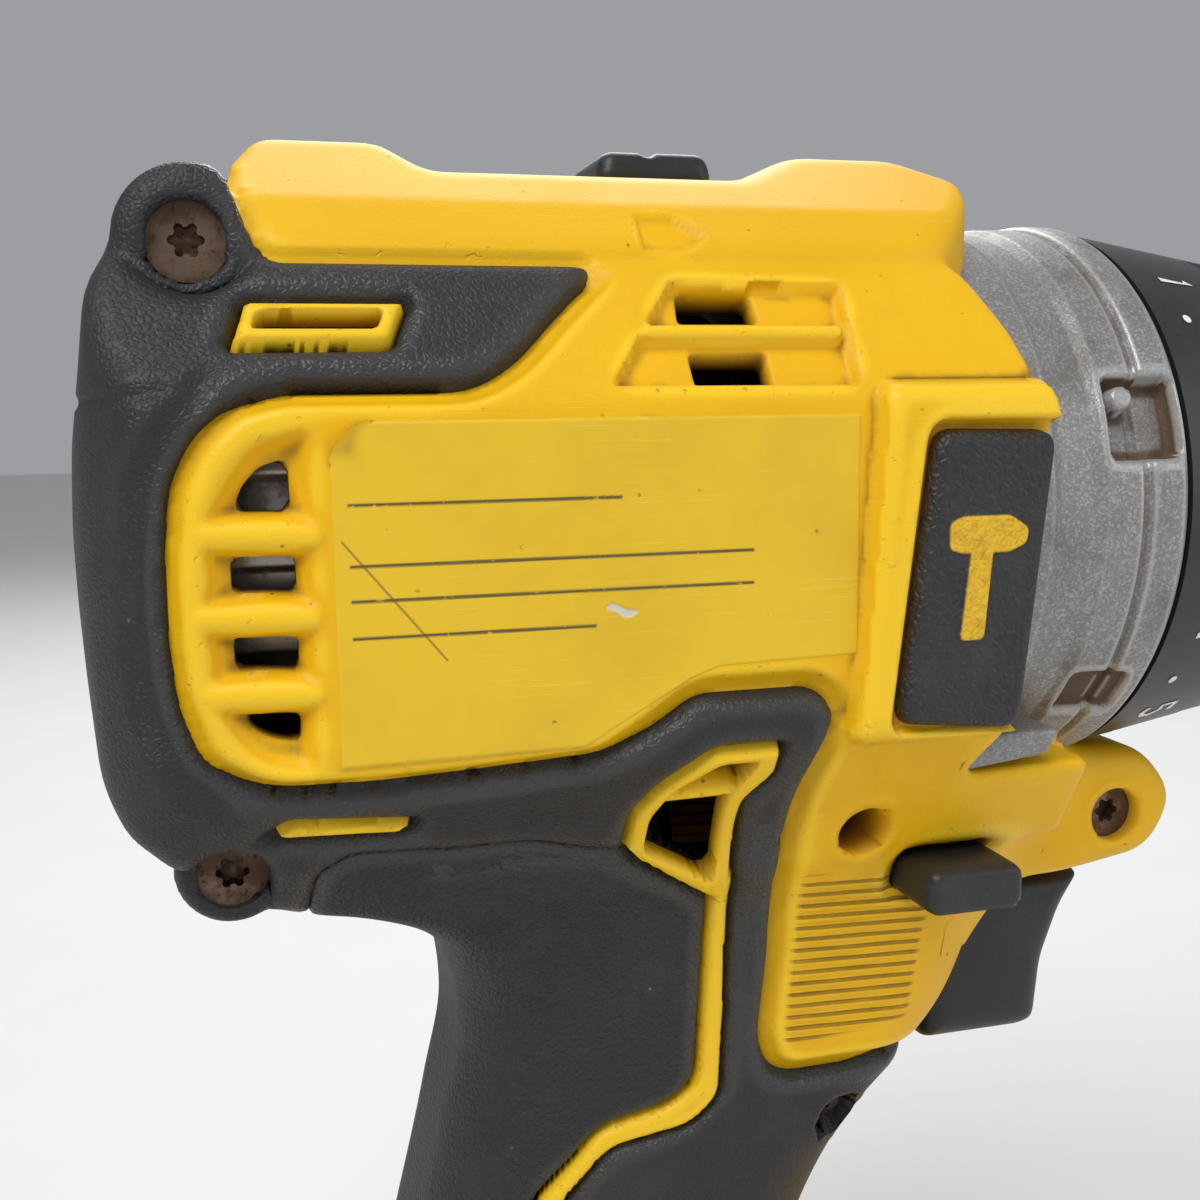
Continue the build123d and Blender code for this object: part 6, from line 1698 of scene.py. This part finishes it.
@dataclass
class GearCase:
    """Silver casting between the shell and the torque collar."""

    profile: Corners = (
        (8.0, 29.3), (19.4, 29.3), (19.8, 31.2), (27.0, 31.5), (28.4, 31.45), (29.6, 30.9), (33.4, 30.8),
        (34.8, 31.4), (38.6, 31.5), (39.0, 31.1), (39.5, 31.1), (39.9, 31.7), (41.0, 31.9), (43.2, 31.9),
        (43.9, 31.4), (44.0, 30.6), (44.0, 16.0))
    notch: tuple[float, ...] = (39.3, 72.0, 4.3, 4.6, 2.6)
    window: tuple[float, ...] = (38.2, 129.0, 3.6, 3.4, 0.85)
    tongue: Outline = drawn(
        (18.6, -26.2), (22.4, -21.4), (29.6, -21.4), (29.4, -24.6), radius=0.6, step=0.2)
    peg: Triple = (37.2, 68.0, 1.5)
    outer: float = 31.5
    flap_middle: Place = (25.5, -26.0, -23.6)
    flap_crest: Pair = (-33.7, -19.6)
    flap_slope: Pair = (-0.824, -0.566)
    flap_root: float = -21.0

    def build(self, finishes: Finishes) -> None:
        """Turn the profile about the axis, with a notch and a window sunk into it and a peg between.

        Args:
            finishes: Materials by name.
        """
        corners = np.array(self.profile)
        length = run_lengths(corners)
        place = np.concatenate([np.linspace(0, length[-2], int(152 / FINE)), [length[-1]]])
        turn = np.linspace(0.0, 360.0, int(512 / FINE), endpoint=False)
        x, radius = (np.interp(place, length, column)[:, None] + 0 * turn for column in corners.T)
        sunk, front = np.zeros_like(x), self.profile[-1][0] - 0.05
        for along, angle, half_along, half_round, depth in (self.notch, self.window):
            pit = rounded_box(x - along, self.arc(turn, angle), half_along, half_round, 1.2)
            sunk = np.maximum(sunk, depth * fade(pit, -0.5, 0.0) * (x < front))
        peg = np.hypot(x - self.peg[0], self.arc(turn, self.peg[1])) - self.peg[2]
        sunk = sunk * smooth(peg, -0.4, 0.2)
        radius = np.where(place[:, None] < length[-2], radius - sunk, radius)
        points = np.stack([x, radius * np.sin(np.radians(turn)), radius * np.cos(np.radians(turn))], -1)
        level = np.clip(radius - self.outer, -1.8, 1.0)
        lower = blurred(level, 3) - level
        stain = 0.45 * (sunk > 1.5) + (sunk > 0.7) * (sunk < 1.0)
        marks = {"crevice": np.clip(lower / 0.4 + stain, 0, 1), "wear": np.clip(-lower / 0.25, 0, 1)}
        ring = Patch(points, None, marks, False, True).turned_over()
        size = int(68 / FINE)
        flaps = [ball(lambda x, y, z: self.flap(x, y * sign, z), np.array(self.flap_middle) * [1, sign, 1],
                      size, 2 * size) for sign in (1.0, -1.0)]
        piece = surface("gear_case_casting", [ring, *flaps])
        dress(piece, finishes["case_silver"], "tool_body", "case_silver", "gear_case")

    def arc(self, turn: Array, angle: float) -> Array:
        """Length along the case's round from an angle towards -Y to each turn, both in degrees."""
        return np.radians(turn - (360.0 - angle)) * self.outer

    def flap(self, x: Array, y: Array, z: Array) -> Array:
        """Distance to the tongue that lies on the shell's lower flank, cut off level with its slope."""
        slope = (y - self.flap_crest[0]) * self.flap_slope[0] + (z - self.flap_crest[1]) * self.flap_slope[1]
        return soft_max(soft_max(self.tongue(x, z), slope, 0.8), y - self.flap_root, 0.8)


@dataclass
class DialNumbers:
    """White numbers and dots printed round the torque collar, lying along the axis."""

    strokes: tuple[Corners, ...] = (  # points across and up, on a grid of 3 by 5
        ((1.5, 4.0), (2.0, 5.0), (2.0, 0.0)),
        ((0.2, 4.2), (1.2, 5.0), (2.4, 4.7), (2.7, 3.6), (1.6, 1.8), (0.2, 0.0), (2.9, 0.0)),
        ((0.2, 5.0), (2.8, 5.0), (1.4, 3.1), (2.6, 2.4), (2.7, 0.9), (1.6, 0.0), (0.2, 0.4)),
        ((2.1, 0.0), (2.1, 5.0), (0.1, 1.4), (3.0, 1.4)),
        ((2.7, 5.0), (0.5, 5.0), (0.4, 2.8), (1.8, 3.1), (2.8, 2.0), (2.5, 0.6), (1.3, 0.0), (0.2, 0.5)),
        ((2.4, 5.0), (0.8, 3.0), (0.3, 1.4), (1.2, 0.1), (2.5, 0.4), (2.7, 1.8), (1.7, 2.6), (0.5, 2.1)),
        ((0.2, 5.0), (2.9, 5.0), (1.0, 0.0)),
        ((1.5, 2.6), (0.5, 3.6), (1.5, 5.0), (2.5, 3.6), (1.5, 2.6), (0.3, 1.3), (1.5, 0.0), (2.7, 1.3),
         (1.5, 2.6)))
    first: float = 36.4  # degrees from the top towards -Y
    step: float = 26.4
    middle: float = 51.2  # along x
    size: float = 4.4
    weight: float = 0.75
    dot_radius: float = 0.55
    dot_shift: float = -2.2  # along x from the numbers' middle
    cone: Triple = (44.5, 31.4, -0.164)  # the collar's rear end, its radius there and its growth along x
    proud: float = 0.06

    def build(self, finishes: Finishes) -> None:
        """Lay every stroke and dot on the collar's cone.

        Args:
            finishes: Materials by name.
        """
        turn = np.linspace(0.0, 2 * np.pi, 24, endpoint=False)
        disc = np.stack([np.outer([self.dot_radius, 0.0], wave(turn)) for wave in (np.sin, np.cos)], -1)
        patches = []
        for number, stroke in enumerate(self.strokes):
            angle = self.first + number * self.step
            line = (np.array(stroke) - [1.5, 2.5]) * self.size / 5.0
            patches.append(self.laid(self.ribbon(line), angle, self.middle))
            dot = self.laid(disc, angle + 0.5 * self.step, self.middle + self.dot_shift)
            patches.append(Patch(dot.points, None, {}, True, True))
        piece = surface("dial_numbers", patches)
        dress(piece, finishes["dial_white"], "torque_collar", "plastic_black")

    def ribbon(self, line: Array) -> Array:
        """Carry a short cross line along a stroke, turned half-way at each bend.

        Args:
            line: Points of the stroke.

        Returns:
            A grid with one row on each side of the stroke.
        """
        runs = np.diff(line, axis=0)
        runs = runs / np.linalg.norm(runs, axis=1, keepdims=True)
        along = np.concatenate([runs[:1], runs[:-1] + runs[1:], runs[-1:]])
        along = along / np.maximum(np.linalg.norm(along, axis=1, keepdims=True), 0.6)
        across = np.stack([-along[:, 1], along[:, 0]], -1) * 0.5 * self.weight
        fine = np.linspace(0, len(line) - 1, 12 * len(line))
        spots = np.arange(len(line))
        rows = [np.stack([np.interp(fine, spots, (line + sign * across)[:, k]) for k in (0, 1)], -1)
                for sign in (1.0, -1.0)]
        return np.stack(rows)

    def laid(self, flat: Array, angle: float, middle: float) -> Patch:
        """Wrap flat points round the collar: up is along x, across is along its round.

        Args:
            flat: Grid of points, across and up.
            angle: Angle of the middle from the top, in degrees towards -Y.
            middle: Place of the middle along x.

        Returns:
            The patch.
        """
        x = middle + flat[..., 1]
        rear, radius, growth = self.cone
        radius = radius + (x - rear) * growth + self.proud
        turn = np.radians(angle) + flat[..., 0] / radius
        return Patch(np.stack([x, -radius * np.sin(turn), radius * np.cos(turn)], -1))


def ball(distance: Distance, middle: Sequence[float], rows: int, columns: int) -> Patch:
    """Trace rays in all directions from one inner point, by turns about x and from x.

    Args:
        distance: Signed distance of the form.
        middle: A point inside it.
        rows: Steps from -X to +X.
        columns: Steps round X.

    Returns:
        The closed form, as a patch with both poles.
    """
    swing = np.linspace(0.0, np.pi, rows)[:, None]
    swing[0] = 1e-4
    turn = np.linspace(0.0, 2 * np.pi, columns, endpoint=False)[None]
    directions = np.stack([-np.cos(swing) + 0 * turn, np.sin(swing) * np.sin(turn),
                           np.sin(swing) * np.cos(turn)], -1)
    points = trace(np.array(middle), directions, distance)
    return Patch(points, None, {}, True, True).turned_over()


@dataclass
class Controls:
    """Trigger, direction button and speed selector."""

    trigger: Outline = drawn(
        (28, -46.6), (50, -46.6), (47.2, -51), (44.8, -57.5), (44, -65.5), (42, -66.4), (28, -66.4),
        radius=1.5, step=0.25)
    trigger_middle: Place = (37.0, 0.0, -56.0)
    trigger_half: float = 9.0
    bar_middle: Place = (22.0, -4.0, -38.6)
    bar_half: Triple = (5.4, 26.0, 2.5)
    slider_middle: Place = (-4.9, 0.0, 36.4)
    slider_half: Pair = (6.6, 7.0)
    slider_span: Pair = (36.5, 1.8)
    slider_taper: float = 0.18
    groove: Triple = (-5.6, 38.6, 0.8)

    def build(self, finishes: Finishes) -> None:
        """Write the three smooth pieces.

        Args:
            finishes: Materials by name.
        """
        size = int(150 / FINE)
        forms = (("trigger_blade", "trigger", self.blade, self.trigger_middle),
                 ("direction_bar", "direction_button", self.bar, self.bar_middle),
                 ("speed_slider", "speed_selector", self.slider, self.slider_middle))
        for name, node, form, middle in forms:
            piece = surface(name, [ball(form, middle, size, 2 * size)])
            dress(piece, finishes["plastic_black"], node, "plastic_black", node)

    def blade(self, x: Array, y: Array, z: Array) -> Array:
        """Distance to the trigger: its side outline, rounded across."""
        return soft_max(self.trigger(x, z), np.abs(y) - self.trigger_half, 3.5)

    def bar(self, x: Array, y: Array, z: Array) -> Array:
        """Distance to a rounded bar through the handle."""
        (mid_x, mid_y, mid_z), (half_x, half_y, half_z) = self.bar_middle, self.bar_half
        section = rounded_box(x - mid_x, z - mid_z, half_x, half_z, 1.4)
        return soft_max(section, np.abs(y - mid_y) - half_y, 1.0)

    def slider(self, x: Array, y: Array, z: Array) -> Array:
        """Distance to a low block with sloping sides and a cross groove.

        Args:
            x, y, z: Places along, across and up from the axis.

        Returns:
            Signed distances.
        """
        height, half = self.slider_span
        slope = self.slider_taper * (z - (height - half))
        along, across = (size - slope for size in self.slider_half)
        block = rounded_box(x - self.slider_middle[0], y, along, across, 1.6)
        block = soft_max(block, np.abs(z - height) - half, 1.6)
        groove = np.hypot(x - self.groove[0], z - self.groove[1]) - self.groove[2]
        return soft_max(block, -groove, 0.5)


@dataclass
class Studio:
    """Pale floor, soft lights and the camera of the view."""

    focal: float = 40.5
    place: Place = (-0.04983, -0.14891, 0.17989)
    right: Place = (0.9655, -0.2602, -0.0131)
    down: Place = (-0.0502, -0.1364, -0.9894)
    forward: Place = (0.2557, 0.9559, -0.1448)
    aim: Place = (0.0, 0.0, 0.15)
    lights: tuple[tuple[str, Place, float, float], ...] = (
        ("key", (-0.45, -0.55, 1.0), 0.6, 9.0), ("fill", (0.9, -0.7, 0.5), 0.8, 3.0),
        ("back", (0.2, 0.8, 0.9), 0.7, 8.0))

    def build(self) -> None:
        """Set the camera, three area lights, the sky and the floor."""
        scene = bpy.context.scene
        scene.view_settings.view_transform = "Standard"
        lens = bpy.data.cameras.new("view")
        lens.lens, lens.sensor_width, lens.clip_start = self.focal, 36.0, 0.005
        axes = [self.right, -np.array(self.down), -np.array(self.forward)]
        scene.camera = self.hold("view", lens, self.place, axes)
        for light in self.lights:
            self.light(*light)
        self.sky(scene)
        self.floor()

    @staticmethod
    def hold(name: str, data: bpy.types.ID, place: Place, axes: Sequence[Any]) -> bpy.types.Object:
        """Put a lens or lamp in the scene.

        Args:
            name: Its name.
            data: The lens or lamp.
            place: Where it hangs.
            axes: Its own x, y and z axes.

        Returns:
            The new object.
        """
        held = bpy.data.objects.new(name, data)
        turned = np.eye(4)
        turned[:3, :3] = np.array(axes).T
        turned[:3, 3] = place
        held.matrix_world = Matrix(turned.tolist())
        bpy.context.scene.collection.objects.link(held)
        return held

    def light(self, name: str, place: Place, size: float, power: float) -> None:
        """Hang one square light that faces the tool.

        Args:
            name: Its name.
            place: Where it hangs.
            size: Side in metres.
            power: Watts.
        """
        lamp = bpy.data.lights.new(name, "AREA")
        lamp.size, lamp.energy = size, power
        away = np.array(place) - np.array(self.aim)
        back = away / np.linalg.norm(away)
        side = np.cross([0.0, 0.0, 1.0], back)
        side = side / np.linalg.norm(side)
        self.hold(name, lamp, place, [side, np.cross(back, side), back])

    @staticmethod
    def sky(scene: bpy.types.Scene) -> None:
        """Light the scene from all round with a pale grey.

        Args:
            scene: The scene.
        """
        world = bpy.data.worlds.new("studio")
        scene.world = world
        world.use_nodes = True
        glow = world.node_tree.nodes["Background"].inputs
        glow["Color"].default_value = (0.93, 0.95, 1.0, 1.0)
        glow["Strength"].default_value = 0.36

    @staticmethod
    def floor() -> None:
        """Lay a wide round floor under the battery."""
        turn = np.linspace(0.0, 2 * np.pi, 96, endpoint=False)
        radius = np.array([4000.0, 1500.0, 400.0, 0.0])[:, None]
        points = np.stack([radius * np.cos(turn), radius * np.sin(turn),
                           np.full_like(radius * turn, -AXIS_HEIGHT - 0.02)], -1)
        sheet = surface("floor", [Patch(points, None, {}, True, True)])
        graph = Graph("studio_floor")
        tone = graph.mix(graph.noise(60.0, 3.0), (0.72, 0.72, 0.71), (0.76, 0.76, 0.75))
        sheet.data.materials.append(graph.shade(Base_Color=tone, Roughness=0.8))


def make_finishes() -> Finishes:
    """Make every finish of the record's slots.

    Returns:
        Materials by name.
    """
    steel, dark = (0.55, 0.55, 0.54), (0.12, 0.10, 0.08)
    recipes = (
        MouldedShell(), SoftRubber(), SoftRubber("grip_rubber", grain=0.8, depth=0.15, rough=0.58),
        PadRubber(), MouldedBlack(), LabelFilm(), CastPaint(),
        Metal("screw_rust", (0.20, 0.14, 0.10), (0.085, 0.034, 0.014), 0.75, 0.42),
        Metal("steel", steel, (0.22, 0.18, 0.14), 0.25, 0.28, 0.25),
        Metal("gear_steel", (0.42, 0.41, 0.39), dark, 0.4, 0.34),
        Metal("lamination", (0.36, 0.35, 0.34), dark, 0.5, 0.42, 0.5),
        Metal("copper", (0.72, 0.30, 0.14), (0.28, 0.10, 0.04), 0.35, 0.33),
        Metal("bronze", (0.60, 0.38, 0.16), (0.22, 0.13, 0.05), 0.3, 0.36),
        Metal("contact_tin", (0.70, 0.69, 0.66), (0.40, 0.36, 0.28), 0.25, 0.3),
        Metal("plate_zinc", (0.58, 0.59, 0.60), (0.34, 0.32, 0.27), 0.4, 0.36),
        PlainFinish("board_green", (0.010, 0.11, 0.045), (0.02, 0.17, 0.07), 0.38, 0.0, 1.4),
        PlainFinish("lens_clear", (0.86, 0.88, 0.90), (0.78, 0.82, 0.86), 0.12, 0.0, 3.0, 0.75),
        PlainFinish("lead_red", (0.46, 0.014, 0.012), (0.36, 0.01, 0.01), 0.4, 0.0, 1.5),
        PlainFinish("cell_wrap", (0.02, 0.12, 0.24), (0.015, 0.09, 0.19), 0.32, 0.0, 6.0),
        PlainFinish("dial_white", (0.80, 0.80, 0.76), (0.62, 0.61, 0.57), 0.55, 0.0, 0.8))
    return {recipe.name: recipe.material() for recipe in recipes}


def dress_nodes(frame: dict[str, Any], finishes: Finishes) -> None:
    """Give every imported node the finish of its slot.

    Args:
        frame: The loaded frame.
        finishes: Materials by name.
    """
    slots = {row["node"]: row["material_slot"] for row in frame["record"]["subparts"]}
    for name, node in frame["nodes"].items():
        node.data.materials.clear()
        node.data.materials.append(finishes[slots[name]])


def main() -> None:
    """Load the frame, build every sub-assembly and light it."""
    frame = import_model()
    finishes = make_finishes()
    dress_nodes(frame, finishes)
    for assembly in (Housing(), ModePads(), RatingLabel(), GearCase(), DialNumbers(), Controls()):
        assembly.build(finishes)
    Studio().build()


if __name__ == "__main__":
    main()
